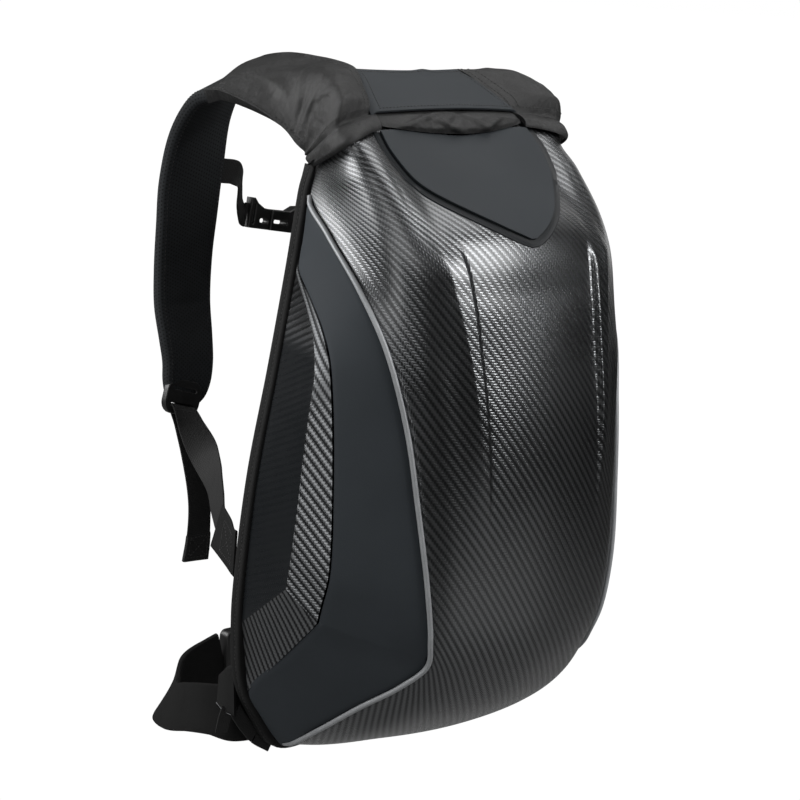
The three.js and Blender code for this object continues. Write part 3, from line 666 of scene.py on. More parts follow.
def sewing_thread():
    made, tree, shader, flat, place = finish("sewing_thread")
    patch = placed(tree, BLOTCHES, Place=place, Size=0.002)["Share"]
    join(tree, shader["Base Color"], tint(tree, patch, grey(0.012), grey(0.03)))
    join(tree, shader["Roughness"], between(tree, patch, 0.55, 0.7))
    return made


CARBON = carbon_film()
MATTE = coated_panel("matte_panel", level=0.036, roughness=0.66, grain=0.0012, gloss=0.12)
SHIELD = coated_panel("smooth_panel", level=0.026, roughness=0.66, grain=0.0009, gloss=0.25)
GROOVE = coated_panel("moulded_rim", level=0.010, roughness=0.42, grain=0.0008, gloss=0.25)
NYLON = woven_cloth(
    "yoke_nylon", PLAIN_WEAVE, 0.0135, thread=0.0005, roughness=0.5, depth=0.00008, gloss=0.4, creased=True
)
TAB_CLOTH = woven_cloth(
    "tab_cloth", PLAIN_WEAVE, 0.006, thread=0.0006, roughness=0.75, depth=0.0001, gloss=0.2
)
BINDING_TAPE = woven_cloth(
    "binding_tape", TWILL, 0.008, thread=0.0009, roughness=0.7, depth=0.00012, gloss=0.2
)
MESH = knitted_cloth("strap_mesh", level=0.02, pitch=0.0028)
STRAP_EDGE = woven_cloth(
    "strap_edge", PLAIN_WEAVE, 0.010, thread=0.0009, roughness=0.75, depth=0.0001, gloss=0.25
)
WEBBING = woven_cloth(
    "strap_webbing", TWILL, 0.015, thread=0.0014, roughness=0.7, depth=0.0002, gloss=0.25
)
BELT_CLOTH = woven_cloth(
    "belt_cloth", PLAIN_WEAVE, 0.008, thread=0.0006, roughness=0.8, depth=0.0001, gloss=0.15
)
PLASTIC = moulded_plastic()
REFLECTIVE = reflective_cloth()
THREAD = sewing_thread()
print("materials:", len([m for m in bpy.data.materials if m.use_nodes]))

# %% [markdown]
# ## The front shell
# The real shell is one sheet, pressed hot into a mould: a broad arch with two raised fins that
# fade out downwards. Four seams describe it, from the piping over a shoulder and the fin line to
# the middle crest, and one smooth curve crosses them at each height. Here the same surface is cut
# finer than in the solid, its shoulders are rounded and its edge is rolled down into the piping seam.

# %% Shell surface
SHELL_WALL = 2.5
# How near to the piping's middle the shell and the side panels reach
PIPING_CLEAR = 0.8
# The fins: across the shell their foot, drop and ridge, and by section where they start and fade out
FIN = {"rise": 4.5, "foot": 1.3, "bend": 1.5, "drop": (1.94, 2.05), "top": (1.95, 2.6), "low": (4.4, 6.6)}
FIN_RIDGE = {"sections": (2.2, 6.0), "shares": (1.66, 1.84)}
# Each section's points from the piping edge over the shoulder and the fin line to the crest
SHELL_SECTIONS = [
    ((-98, -11, 454), (-113, -62, 477), (-76, -52, 487), (0, -59, 481)),
    ((-105, -12, 432), (-113, -98, 445), (-73, -95, 446), (0, -107, 449)),
    ((-119, -52, 407), (-113, -119, 411), (-68, -136, 409), (0, -145, 409)),
    ((-125, -95, 372), (-110, -132, 372), (-64, -150, 369), (0, -156, 369)),
    ((-122, -122, 333), (-101, -146, 332), (-62, -158, 330), (0, -165, 330)),
    ((-113, -138, 276), (-92, -156, 276), (-60, -168, 276), (0, -174, 276)),
    ((-107, -147, 220), (-87, -162, 220), (-58, -173, 220), (0, -178, 220)),
    ((-100, -154, 160), (-82, -165, 158), (-56, -172, 156), (0, -176, 155)),
    ((-93, -153, 118), (-78, -160, 112), (-54, -165, 108), (0, -169, 105)),
    ((-89, -147, 98), (-76, -150, 88), (-53, -153, 80), (0, -157, 76)),
    ((-98, -130, 80), (-80, -132, 63), (-54, -134, 54), (0, -137, 50)),
    ((-108, -97, 57), (-84, -100, 37), (-55, -102, 30), (0, -104, 27)),
    ((-113, -60, 31), (-86, -61, 16), (-56, -62, 12), (0, -63, 9)),
    ((-113, -27, 10), (-86, -30, 4), (-56, -30, 3), (0, -31, 2)),
    ((-110, -11, 3), (-86, -11, 1), (-56, -11, 1), (0, -11, 1)),
]
LAST_SECTION = len(SHELL_SECTIONS) - 1
SHELL_RAILS = [np.array(rail, float) for rail in zip(*SHELL_SECTIONS)]


def plain_shell(across, section):
    """The shell without fins; across runs from 0 at the left piping over the crest to 6 at the right."""
    across, section = np.broadcast_arrays(np.asarray(across, float), np.asarray(section, float))
    half = [curve_at(rail, section.ravel()) for rail in SHELL_RAILS]
    arch = np.stack(half + [point * FLIP for point in half[2::-1]], axis=1)
    return curve_at(arch, across.ravel()).reshape(across.shape + (3,))


def shell_ways(across, section, small=0.02):
    """How far the surface moves for one step across and one section down."""
    left, right = np.maximum(across - small, 0), np.minimum(across + small, 6)
    over, under = np.maximum(section - small, 0), np.minimum(section + small, LAST_SECTION)
    sideways = (plain_shell(right, section) - plain_shell(left, section)) / (right - left)[..., None]
    downward = (plain_shell(across, under) - plain_shell(across, over)) / (under - over)[..., None]
    return sideways, downward


def fin_rise(across, section):
    """A long slope up to a ridge, a flat strip that narrows downwards, and a short drop inside it."""
    side = np.minimum(across, 6 - across)
    ridge = np.interp(section, FIN_RIDGE["sections"], FIN_RIDGE["shares"])
    slope = np.clip((side - FIN["foot"]) / (ridge - FIN["foot"]), 0, 1) ** FIN["bend"]
    tall = smooth(*FIN["top"], section) * (1 - smooth(*FIN["low"], section))
    return FIN["rise"] * slope * (1 - smooth(*FIN["drop"], side)) * tall


def shell_points(across, section, lift=0.0):
    """The shell with its fins, or a surface at a lift above it."""
    across, section = np.broadcast_arrays(np.asarray(across, float), np.asarray(section, float))
    sideways, downward = shell_ways(across, section)
    outward = unit(np.cross(downward, sideways))
    return plain_shell(across, section) + outward * (fin_rise(across, section) + lift)[..., None]


print("shell depth at its crest:", plain_shell(3, 6).round(1))

# %% Front shell
SHELL_ROWS, SHELL_COLUMNS = 190, 96
EDGE_ROLL = {"width": 5.0, "sink": 1.3}
SHOULDER_EASE = {"top": (0.02, 0.3), "low": (3.0, 4.5), "steps": 110}
SHOULDER_SWELL = {"rise": 6.8, "across": (0.15, 1.0, 1.9), "top": (0.0, 0.8), "low": (1.4, 4.2)}
FIN_COLUMNS = np.linspace(1.62, 2.15, 28) / 6
# How far in from the side the shoulder is eased, section by section, and how softly that starts and ends
EASE_REACH = {"sections": (0.6, 1.4, 1.9, 2.3), "across": (1.75, 2.1, 2.0, 1.62)}
EASE_START, EASE_FADE = 0.3, 0.5
# A short way in from the edge, and the room left beside the fins' own columns
EDGE_STEP, FIN_SPARE = 0.2, 0.005


def round_shoulders(grid, section, side, clear):
    """Evens out the corner between the side and the front, then swells it out again as a broad curve."""
    reach_in = np.interp(section, EASE_REACH["sections"], EASE_REACH["across"])
    free = smooth(*SHOULDER_EASE["top"], section) * (1 - smooth(*SHOULDER_EASE["low"], section))
    inside = smooth(0, EASE_START, side - clear) * (1 - smooth(reach_in - EASE_FADE, reach_in, side))
    free = (free * inside)[1:-1, 1:-1, None]
    for _ in range(SHOULDER_EASE["steps"]):
        level = (grid[1:-1, :-2] + grid[1:-1, 2:] + grid[:-2, 1:-1] + grid[2:, 1:-1]) / 4
        grid[1:-1, 1:-1] += free * (level - grid[1:-1, 1:-1])
    start, middle, end = SHOULDER_SWELL["across"]
    swell = SHOULDER_SWELL["rise"] * smooth(start, middle, side) * (1 - smooth(middle, end, side))
    swell = swell * smooth(*SHOULDER_SWELL["top"], section) * (1 - smooth(*SHOULDER_SWELL["low"], section))
    grid += normals_of(grid) * swell[..., None]


def front_shell():
    section = np.linspace(0, LAST_SECTION, SHELL_ROWS)[:, None]
    reach = np.linalg.norm(plain_shell(EDGE_STEP, section) - plain_shell(0, section), axis=-1) / EDGE_STEP
    clear = PIPING_CLEAR / reach
    share = np.linspace(0, 1, SHELL_COLUMNS)
    half = np.minimum(share, 1 - share)
    share = share[(half < FIN_COLUMNS[0] - FIN_SPARE) | (half > FIN_COLUMNS[-1] + FIN_SPARE)]
    share = np.sort(np.concatenate([share, FIN_COLUMNS, 1 - FIN_COLUMNS]))
    across = clear + (6 - 2 * clear) * share
    from_edge = np.minimum(across - clear, 6 - clear - across) * reach
    lift = -EDGE_ROLL["sink"] * (1 - smooth(0, EDGE_ROLL["width"], from_edge))
    grid = shell_points(across, np.broadcast_to(section, across.shape), lift)
    round_shoulders(grid, section, np.minimum(across, 6 - across), clear)
    made = wall("front_shell_skin", grid, SHELL_WALL, flat_of(grid, np.argmin(np.abs(share - 0.5))))
    return fitted(made, CARBON, ["front_shell"])


shell = front_shell()
print("shell faces:", len(shell.data.polygons))

# %% [markdown]
# ## The shield panel
# A smooth plate is welded on over the shell's upper middle, and the mould leaves a flat rim around
# it. The plate follows the shell's own surface a little above it, and the rim is a narrow band of
# the same outline, stepped out along the surface.

# %% Shield panel
SHIELD_LIFT = 2.6
SHIELD_WALL = 1.6
SHIELD_GRID = (60, 48)
RIM_POINTS = 110
RIM_WALL = 1.0
SHIELD_ROWS = [
    {"section": 0.1, "share": 1.05},
    {"section": 0.4, "share": 1.1},
    {"section": 0.8, "share": 1.03},
    {"section": 1.05, "share": 0.92},
    {"section": 1.35, "share": 0.72},
    {"section": 1.6, "share": 0.51},
    {"section": 1.82, "share": 0.27},
    {"section": 1.98, "share": 0.04},
]
# The rim's section: millimetres out from the plate's edge, and its lift off the shell
RIM_PROFILE = [(-1.5, 0.3), (0.3, 0.4), (2, 0.45), (5.4, 0.5), (6.0, 0.9), (6.7, 0.9), (7.3, 0.05)]


def shield_outline(count):
    table = np.array([(row["section"], row["share"], 0) for row in SHIELD_ROWS])
    return curve_at(table, np.linspace(0, len(SHIELD_ROWS) - 1, count))[:, :2].T


def shield_panel():
    section, share = shield_outline(SHIELD_GRID[0])
    way = np.linspace(-1, 1, SHIELD_GRID[1])
    section = np.broadcast_to(section[:, None], SHIELD_GRID)
    grid = shell_points(3 + way * share[:, None], section, SHIELD_LIFT)
    plate = soften(wall("shield_plate", grid, SHIELD_WALL), 0.5)
    return fitted(plate, SHIELD, ["shield_panel"])


def shield_rim():
    """The flat band round the plate, stepped out along the shell's surface."""
    section, share = shield_outline(RIM_POINTS)
    section = np.concatenate([section, section[-2::-1]])
    across = np.concatenate([3 - share, 3 + share[-2::-1]])
    sideways, downward = shell_ways(across, section)
    outline = plain_shell(across, section)
    way = unit(np.gradient(outline, axis=0))
    outward = unit(np.cross(way, np.cross(downward, sideways)))
    metric = np.stack([sideways, downward], axis=-1)
    step = np.stack([np.linalg.lstsq(m, o, rcond=None)[0] for m, o in zip(metric, outward)])
    rows = []
    for away, lift in RIM_PROFILE:
        moved = np.array([across, section]).T + step * away
        rows.append(shell_points(moved[:, 0], np.maximum(moved[:, 1], 0), lift))
    made = wall("shield_rim", np.stack(rows), RIM_WALL)
    return fitted(made, GROOVE, [])


plate, rim = shield_panel(), shield_rim()
print("shield faces:", len(plate.data.polygons), "rim faces:", len(rim.data.polygons))

# %% [markdown]
# ## Side panels, insets and piping
# Each side is a matte panel between the piping and the back edge, with a carbon-look wedge let into
# it. The panel is ruled between two seams, so its grid runs straight across from one to the other.
# The wedge has three facets, a long face, a bevel beside it and one at the bottom, so it is made as
# three grids that are welded where they meet and rounded there. The piping is a cord in a strip of
# reflective cloth, so a Geometry Nodes tree sweeps a round profile along the seam, as a sewing foot
# would lay it. The panel and the shell both end under it.

# %% Side tables
PANEL_WALL = 2.5
RIDGE_GAP = 0.8
EDGE_Y = -10.2
SIDE_ROWS = [
    {"inner": (-105.5, EDGE_Y, 420), "section": 1.12},
    {"inner": (-108, EDGE_Y, 402), "section": 1.5},
    {"inner": (-113, EDGE_Y - 2, 385), "section": 2.0},
    {"inner": (-119, -19, 378), "section": 2.4},
    {"inner": (-131, -48, 360), "section": 3.0},
    {"inner": (-138.5, -70, 342), "section": 3.4},
    {"inner": (-143.5, -85, 322), "section": 3.9},
    {"inner": (-147, -94, 294), "section": 4.45},
    {"inner": (-149, -99.5, 259), "section": 5.05},
    {"inner": (-150, -102.5, 222), "section": 5.75},
    {"inner": (-150, -103.5, 190), "section": 6.45},
    {"inner": (-150, -102, 163), "section": 7.2},
    {"inner": (-150, -96, 142), "section": 8.0},
    {"inner": (-150, -92, 127), "section": 8.75},
    {"inner": (-149.8, -57, 94), "section": 10.3},
    {"inner": (-147.5, -13, 55), "section": 11.8},
    {"inner": (-131, EDGE_Y, 29), "section": 12.6},
    {"inner": (-115, EDGE_Y, 8), "section": 13.5},
    {"inner": (-110.5, EDGE_Y, 3.4), "section": 13.95},
]
INSET_FIRST_ROW, SIDE_CORNER, INSET_LAST_ROW = 2, 13, 15
INSET_EDGE = [
    (-111.5, 379), (-113.5, 370), (-118, 348), (-122, 326), (-126.5, 302), (-132, 275),
    (-138.5, 244), (-144, 212), (-147.5, 183), (-150, 158), (-152, 134), (-153.2, 109),
]
INSET_SPINE = [
    (-113, -12, 381), (-117, -15, 375), (-130, -43, 353), (-142, -66, 331), (-150, -77, 308),
    (-155.5, -79, 283), (-159, -79, 254), (-161.5, -78, 220), (-163, -76, 190), (-163, -72.5, 165),
    (-163, -70, 150),
]
INNER_SEAM = np.array([row["inner"] for row in SIDE_ROWS], float)
ACROSS_FROM = np.array([(row["section"], i, 0) for i, row in enumerate(SIDE_ROWS)], float)


def cornered(points, corner, index):
    """A smooth curve with one sharp corner at a row of its table."""
    before = curve_at(points[: corner + 1], np.minimum(index, corner))
    after = curve_at(points[corner:], np.maximum(index - corner, 0))
    return np.where((index < corner)[:, None], before, after)


def step_from(start, end, distance):
    """A point at a distance from the start, towards the end."""
    return start + unit(end - start) * distance


def lerp(start, end, shares):
    """Points between two seams, a column for each share."""
    shares = np.asarray(shares, float)[None, :, None]
    return start[:, None] * (1 - shares) + end[:, None] * shares


print("side seam length:", round(lengths(INNER_SEAM)[-1]), "mm")

# %% Side panels
PANEL_CROWN = {"rise": 1.4, "full_width": 40}
PANEL_TUCK = {"sink": 0.6, "width": 2.5}
PANEL_COLUMNS = 26
PANEL_ROWS = (112, 44)
# At its lower end the panel runs in under the piping, across to the shell
PANEL_END = {"shares": (0.85, 0.925), "reach": 2.6}


def side_panel_grid():
    upper, lower = PANEL_ROWS
    last = len(SIDE_ROWS) - 1
    index = np.concatenate([np.linspace(0, SIDE_CORNER, upper), np.linspace(SIDE_CORNER, last, lower)[1:]])
    inner = cornered(INNER_SEAM, SIDE_CORNER, index)
    outer = curve_at(SHELL_RAILS[0], cornered(ACROSS_FROM, SIDE_CORNER, index)[:, 0])
    under = smooth(*PANEL_END["shares"], index / last)[:, None]
    clear = PIPING_CLEAR - (PIPING_CLEAR + PANEL_END["reach"]) * under
    start, end = step_from(inner, outer, RIDGE_GAP), step_from(outer, inner, clear)
    share = np.linspace(0, 1, PANEL_COLUMNS)[None]
    grid = lerp(start, end, share[0])
    reach = np.linalg.norm(end - start, axis=1)[:, None]
    near = np.minimum(share, 1 - share) * reach
    crown = PANEL_CROWN["rise"] * np.minimum(reach / PANEL_CROWN["full_width"], 1) * 4 * share * (1 - share)
    rolled = 1 - smooth(0, EDGE_ROLL["width"], (1 - share) * reach)
    sink = EDGE_ROLL["sink"] * np.maximum(1 - 2 * under, 0) * rolled
    tuck = PANEL_TUCK["sink"] * (1 - smooth(0, PANEL_TUCK["width"], near))
    return grid + normals_of(grid) * (crown - sink - tuck)[..., None]


def side_panel(side):
    grid = side_panel_grid()
    grid = grid if side == "left" else mirrored(grid)
    made = wall(f"side_panel_skin_{side}", grid, PANEL_WALL)
    crease = (PANEL_ROWS[0] - 1) * PANEL_COLUMNS + np.arange(PANEL_COLUMNS)
    round_creases(made, [crease.tolist()], 2.0)
    return fitted(made, MATTE, [f"side_panel_{side}"])


panels = [side_panel(side) for side in ("left", "right")]
print("side panel faces:", len(panels[0].data.polygons))

# %% Side insets
INSET_CREASE = 1.3
FACE_COLUMNS, BEVEL_COLUMNS, INSET_TALL = 18, 10, 90
# How far the film is turned on each facet, in degrees
FILM_TURN = {"face": -51, "bevel": -32, "bottom": 52}
# The lower face is painted as shade, dark and without tows: heights where that painted shade starts and
# where it is full
PAINTED_SHADE_HEIGHTS = (346, 318)
# Heights where the bevel's gloss starts to fade and where it is all dull
BEVEL_DULL = (290, 330)


def inset_facets():
    """Three grids that share their borders: the long face, the bevel beside it and the bottom facet."""
    edges = [(x, EDGE_Y, height) for x, height in INSET_EDGE]
    back = curve_at(edges, np.linspace(0, len(edges) - 1, INSET_TALL))
    spine = curve_at(INSET_SPINE, np.linspace(0, len(INSET_SPINE) - 1, INSET_TALL))
    index = np.linspace(INSET_FIRST_ROW, SIDE_CORNER, INSET_TALL)
    seam = step_from(curve_at(INNER_SEAM[: SIDE_CORNER + 1], index), spine, RIDGE_GAP)
    face_share, bevel_share = np.linspace(0, 1, FACE_COLUMNS), np.linspace(0, 1, BEVEL_COLUMNS)
    face, bevel = lerp(back, spine, face_share), lerp(spine, seam, bevel_share)
    low = curve_at(INNER_SEAM[SIDE_CORNER : INSET_LAST_ROW + 1], np.linspace(2, 0, FACE_COLUMNS))
    low[-1] = seam[-1]
    bottom = np.stack([lerp(face[-1], low, [share])[:, 0] for share in bevel_share])
    bend = lerp(bevel[-1][:1], bevel[-1][-1:], bevel_share)[0] - bottom[:, -1]
    bottom += bend[:, None] * face_share[None, :, None]
    return {"face": face, "bevel": bevel, "bottom": bottom}


def facet_flat(grid, turn):
    """Flat coordinates on a facet's own plane, with the film turned on it."""
    level = unit(np.mean(grid[:, -1] - grid[:, 0], axis=0))
    outward = unit(np.mean(normals_of(grid), axis=(0, 1)))
    upward = np.cross(outward, level)
    away = grid - grid[0, 0]
    x, y = away @ level, away @ upward
    ahead, aside = math.cos(math.radians(turn)), math.sin(math.radians(turn))
    return np.stack([x * ahead - y * aside, x * aside + y * ahead], axis=-1)


def side_inset(side):
    points, faces, flat, creases, plain, dull = [], [], [], [], [], []
    count = 0
    for name, grid in inset_facets().items():
        rows, columns = grid.shape[:2]
        index = count + np.arange(rows * columns).reshape(rows, columns)
        corners = [index[:-1, :-1], index[1:, :-1], index[1:, 1:], index[:-1, 1:]]
        quads = np.stack(corners, axis=-1).reshape(-1, 4)
        faces.append(quads)
        flat.append(facet_flat(grid, FILM_TURN[name]).reshape(-1, 2)[quads - count])
        height = grid.reshape(-1, 3)[quads - count].mean(axis=1)[:, 2]
        # The plain share paints shade on the lower part of the long face
        plain.append((name == "face") * (1 - smooth(*PAINTED_SHADE_HEIGHTS[::-1], height)))
        dull.append((name == "bevel") * smooth(*BEVEL_DULL, height))
        points.append(grid.reshape(-1, 3))
        creases += {"face": [index[:, -1], index[-1]], "bevel": [index[-1]], "bottom": []}[name]
        count += rows * columns
    points, faces, flat = np.concatenate(points), np.concatenate(faces), np.concatenate(flat)
    _, first, same = np.unique(points.round(3), axis=0, return_index=True, return_inverse=True)
    points, faces = points[first], same.ravel()[faces]
    creases = [same.ravel()[line].tolist() for line in creases]
    if side == "right":
        points, faces, flat = points * FLIP, faces[:, ::-1], flat[:, ::-1] * [-1, 1]
    made = mesh_object(f"side_inset_skin_{side}", points, faces.tolist(), flat, sharp=180)
    shares = {"plain": np.concatenate(plain), "dull": np.concatenate(dull), "bare": np.ones(len(faces))}
    for name, values in shares.items():
        made.data.attributes.new(name, "FLOAT", "FACE").data.foreach_set("value", values)
    solid = made.modifiers.new("moulded_wall", "SOLIDIFY")
    solid.thickness = PANEL_WALL * MM
    solid.offset = -1
    round_creases(made, creases, INSET_CREASE)
    made.data.set_sharp_from_angle(angle=math.radians(50))
    return fitted(made, CARBON, [f"side_inset_{side}"])


insets = [side_inset(side) for side in ("left", "right")]
print("side inset faces:", len(insets[0].data.polygons))

# %% Piping swept along the seam
PIPING = {"radius": 2.0, "lift": 0.7, "sections": (1.0, 13.6), "steps": 150}
# How far the piping's ends dip under the cloth, and over how many sections at the top and the bottom
PIPING_TUCK = {"sink": 1.8, "top": 0.25, "bottom": 0.7}


def tree_with(name, sizes):
    """A Geometry Nodes tree with named sizes, and the sockets to wire it up."""
    tree = bpy.data.node_groups.new(name, "GeometryNodeTree")
    tree.interface.new_socket("Path", in_out="INPUT", socket_type="NodeSocketGeometry")
    for socket, value in sizes.items():
        size = tree.interface.new_socket(socket, in_out="INPUT", socket_type="NodeSocketFloat")
        size.default_value = value
    tree.interface.new_socket("Finish", in_out="INPUT", socket_type="NodeSocketMaterial")
    tree.interface.new_socket("Made", in_out="OUTPUT", socket_type="NodeSocketGeometry")
    return tree, tree.nodes.new("NodeGroupInput").outputs, tree.nodes.new("NodeGroupOutput").inputs


def sweep_tree():
    """A round profile along each path."""
    tree, given, out = tree_with("swept_cord", {"Radius": 0.002})
    path = put(tree, "GeometryNodeMeshToCurve", {0: given["Path"]}).outputs[0]
    profile = put(tree, "GeometryNodeCurvePrimitiveCircle", {"Resolution": 14, "Radius": given["Radius"]})
    swept = put(tree, "GeometryNodeCurveToMesh", {"Curve": path, "Profile Curve": profile.outputs[0]})
    swept.inputs["Fill Caps"].default_value = True
    real = put(tree, "GeometryNodeRealizeInstances", {0: swept.outputs[0]})
    soft = put(tree, "GeometryNodeSetShadeSmooth", {0: real.outputs[0]})
    dyed = put(tree, "GeometryNodeSetMaterial", {0: soft.outputs[0], "Material": given["Finish"]})
    join(tree, out["Made"], dyed.outputs[0])
    return tree


def along_paths(name, tree, paths, sizes, material):
    """Runs a tree along paths in bag millimetres and keeps the plain mesh that it makes."""
    mesh = bpy.data.meshes.new(name)
    points = np.concatenate(paths)
    ends = np.cumsum([len(path) for path in paths])
    edges = [(i, i + 1) for i in range(len(points) - 1) if i + 1 not in ends]
    mesh.from_pydata(to_frame(points).tolist(), edges, [])
    made = bpy.data.objects.new(name, mesh)
    bpy.context.scene.collection.objects.link(made)
    modifier = made.modifiers.new(tree.name, "NODES")
    modifier.node_group = tree
    sockets = {item.name: item.identifier for item in tree.interface.items_tree if item.in_out == "INPUT"}
    for socket, value in sizes.items():
        modifier[sockets[socket]] = value * MM
    modifier[sockets["Finish"]] = material
    return settled(made)


def piping(side):
    section = np.linspace(*PIPING["sections"], PIPING["steps"])
    across = np.zeros_like(section)
    sideways, downward = shell_ways(across, section)
    dip = 1 - smooth(0, PIPING_TUCK["top"], section - section[0])
    dip += smooth(-PIPING_TUCK["bottom"], 0, section - section[-1])
    lift = PIPING["lift"] - PIPING_TUCK["sink"] * dip
    path = plain_shell(across, section) + unit(np.cross(downward, sideways)) * lift[:, None]
    path = path if side == "left" else path * FLIP
    sizes = {"Radius": PIPING["radius"]}
    made = along_paths(f"piping_cord_{side}", SWEPT_CORD, [path], sizes, REFLECTIVE)
    return fitted(made, REFLECTIVE, [f"piping_{side}"])


SWEPT_CORD = sweep_tree()
pipings = [piping(side) for side in ("left", "right")]
print("piping faces:", len(pipings[0].data.polygons))

# %% [markdown]
# ## The edge binding
# A folded tape closes the raw edges all round the back. Its section is a soft rectangle with a leg
# that lies under the side panels, and it is lofted along the edge seam from one yoke round the
# bottom to the other.

# %% Edge binding
TAPE_TAPER = {"length": 22.0, "slim": 0.25}
TAPE_INSIDE = 1.5
TAPE_STEPS = 260
BACK_EDGE = [
    {"half": 98, "height": 455},
    {"half": 102, "height": 437},
    {"half": 106, "height": 414},
    {"half": 111, "height": 383},
    {"half": 126, "height": 302},
    {"half": 142, "height": 224},
    {"half": 150.5, "height": 155},
    {"half": 153, "height": 109},
    {"half": 148, "height": 60},
    {"half": 131, "height": 28},
    {"half": 110, "height": 3},
    {"half": 60, "height": 3},
    {"half": 0, "height": 3},
]
LEFT_EDGE = np.array([(-row["half"], 0, row["height"]) for row in BACK_EDGE], float)
EDGE_SEAM = np.concatenate([LEFT_EDGE, LEFT_EDGE[-2::-1] * FLIP])


def edge_frames(count):
    """Points along the back edge, and the way outwards at each."""
    index = np.linspace(0, len(EDGE_SEAM) - 1, count)
    seam = curve_at(EDGE_SEAM, index)
    way = unit(np.gradient(seam, axis=0))
    return seam, np.stack([way[:, 2], 0 * way[:, 0], -way[:, 0]], axis=1)


# The tape's section: how far out from the seam, and how far back along y
TAPE_SECTION = [
    (-4.4, -15), (-3.4, -15), (-3.2, -9.8), (0.6, -9.6), (1.6, -9.3), (2.3, -8.6), (2.6, -7.2),
    (2.45, -5.4), (2.1, -4.6), (2.45, -3.8), (2.6, -2.0), (2.5, -0.2), (2.1, 0.9), (1.2, 1.5),
    (0.0, 1.6), (-1.5, 1.6), (-1.5, -8.4), (-4.4, -8.4),
]


def edge_binding():
    seam, outward = edge_frames(TAPE_STEPS)
    run = lengths(seam)
    full = smooth(0, TAPE_TAPER["length"], np.minimum(run, run[-1] - run))[:, None]
    slim = TAPE_TAPER["slim"] + (1 - TAPE_TAPER["slim"]) * full
    rings = [seam + outward * away * slim + np.array([0.0, y, 0.0]) for away, y in TAPE_SECTION]
    made = loft("edge_tape", np.stack(rings, axis=1), sharp=50)
    return fitted(made, BINDING_TAPE, ["edge_binding"])


tape = edge_binding()
print("edge tape faces:", len(tape.data.polygons))

# %% [markdown]
# ## The top: panel, gusset and yokes
# Above the shell the bag turns to cloth. A smooth panel lies under the neck, a gathered gusset fills
# the slit below it, and two nylon yokes run back over the shoulders. Their hems are rolled over the
# shell's top edge. The cloth is pulled here and there, so a short table gives each fold its place,
# direction, length, width and rise, and the folds are added along the surface's normals.

# %% Folds
FABRIC_WALL = 2.0
THIN_WALL = 1.2


def folded(grid, folds):
    """Adds soft folds to a grid; each fold's place is a share across and a share down."""
    flat = flat_of(grid)
    rise = np.zeros(grid.shape[:2])
    for fold in folds:
        column = round(fold["at"][0] * (grid.shape[1] - 1))
        row = round(fold["at"][1] * (grid.shape[0] - 1))
        away = flat - flat[row, column]
        turn = math.radians(fold["turn"])
        along = away[..., 0] * math.cos(turn) + away[..., 1] * math.sin(turn)
        aside = away[..., 1] * math.cos(turn) - away[..., 0] * math.sin(turn)
        rise += fold["rise"] * np.exp(-((along / fold["length"]) ** 2) - (aside / fold["width"]) ** 2)
    return grid + normals_of(grid) * rise[..., None]


def cross_panel(table, rows, columns):
    """A panel bowed across the bag, from a table of its half width, place, bow and rise."""
    index = np.linspace(0, len(table) - 1, rows)

    def column(name):
        return curve_at([(row[name], i * 10, 0) for i, row in enumerate(table)], index)[:, :1]

    share = np.linspace(-1, 1, columns)[None]
    crown = 1 - share**2
    across = share * column("half")
    back = column("y") - column("bow") * crown
    return np.stack([across, back, column("height") + column("rise") * crown], axis=-1)


print("fold maker ready")

# %% Top panel and gusset
TOP_PANEL_ROWS = [
    {"half": 53, "y": -1.5, "height": 526, "bow": 2, "rise": -1},
    {"half": 60, "y": -17, "height": 518.5, "bow": 4, "rise": 0},
    {"half": 68.8, "y": -36, "height": 506, "bow": 5, "rise": 2},
    {"half": 73.5, "y": -48, "height": 497.5, "bow": 6, "rise": 2},
]
# Behind, the panel is folded down to the back pad, and its sides are tucked under the yokes
FLAP_ROWS = [
    {"half": 62, "y": -3, "height": 498, "bow": 0, "rise": 0},
    {"half": 57, "y": -1, "height": 512, "bow": 0, "rise": 0},
    {"half": 54, "y": 0.5, "height": 522, "bow": 1, "rise": 0},
    {"half": 53, "y": -1.5, "height": 526, "bow": 2, "rise": -1},
]
TUCK, GUSSET_TUCK = np.array([5.0, 0.0, -3.0]), np.array([9.0, 5.0, -2.0])
TOP_FOLDS = [
    {"at": (0.5, 0.95), "turn": 0, "length": 60, "width": 7, "rise": 0.8},
    {"at": (0.62, 0.05), "turn": 20, "length": 8, "width": 5, "rise": 1.5},
]
GUSSET_ROWS = [
    {"half": 71, "y": -44, "height": 496.3, "bow": 5, "rise": 2.2},
    {"half": 72.5, "y": -49, "height": 494, "bow": 11, "rise": 0},
    {"half": 73.5, "y": -53.5, "height": 490.5, "bow": 13.5, "rise": -4},
    {"half": 74.5, "y": -55, "height": 487.5, "bow": 11, "rise": -6},
]
GUSSET_FOLDS = [
    {"at": (0.22, 0.5), "turn": 24, "length": 22, "width": 2.6, "rise": 2.4},
    {"at": (0.38, 0.55), "turn": -20, "length": 18, "width": 2.4, "rise": 2.8},
    {"at": (0.47, 0.4), "turn": 35, "length": 13, "width": 2.4, "rise": -2.4},
    {"at": (0.60, 0.5), "turn": -28, "length": 18, "width": 2.4, "rise": 2.8},
    {"at": (0.74, 0.6), "turn": 18, "length": 16, "width": 2.4, "rise": 2.2},
    {"at": (0.86, 0.5), "turn": -12, "length": 14, "width": 3.0, "rise": 1.0},
]


def top_panel():
    grid = folded(cross_panel(TOP_PANEL_ROWS, 40, 64), TOP_FOLDS)
    cloth = np.concatenate([cross_panel(FLAP_ROWS, 14, 64)[:-1], grid])
    cloth = np.concatenate([cloth[:, :1] + TUCK * FLIP, cloth, cloth[:, -1:] + TUCK], axis=1)
    made = soften(wall("neck_panel", cloth, FABRIC_WALL), 0.6)
    fitted(made, SHIELD, ["top_panel"])
    return made, grid


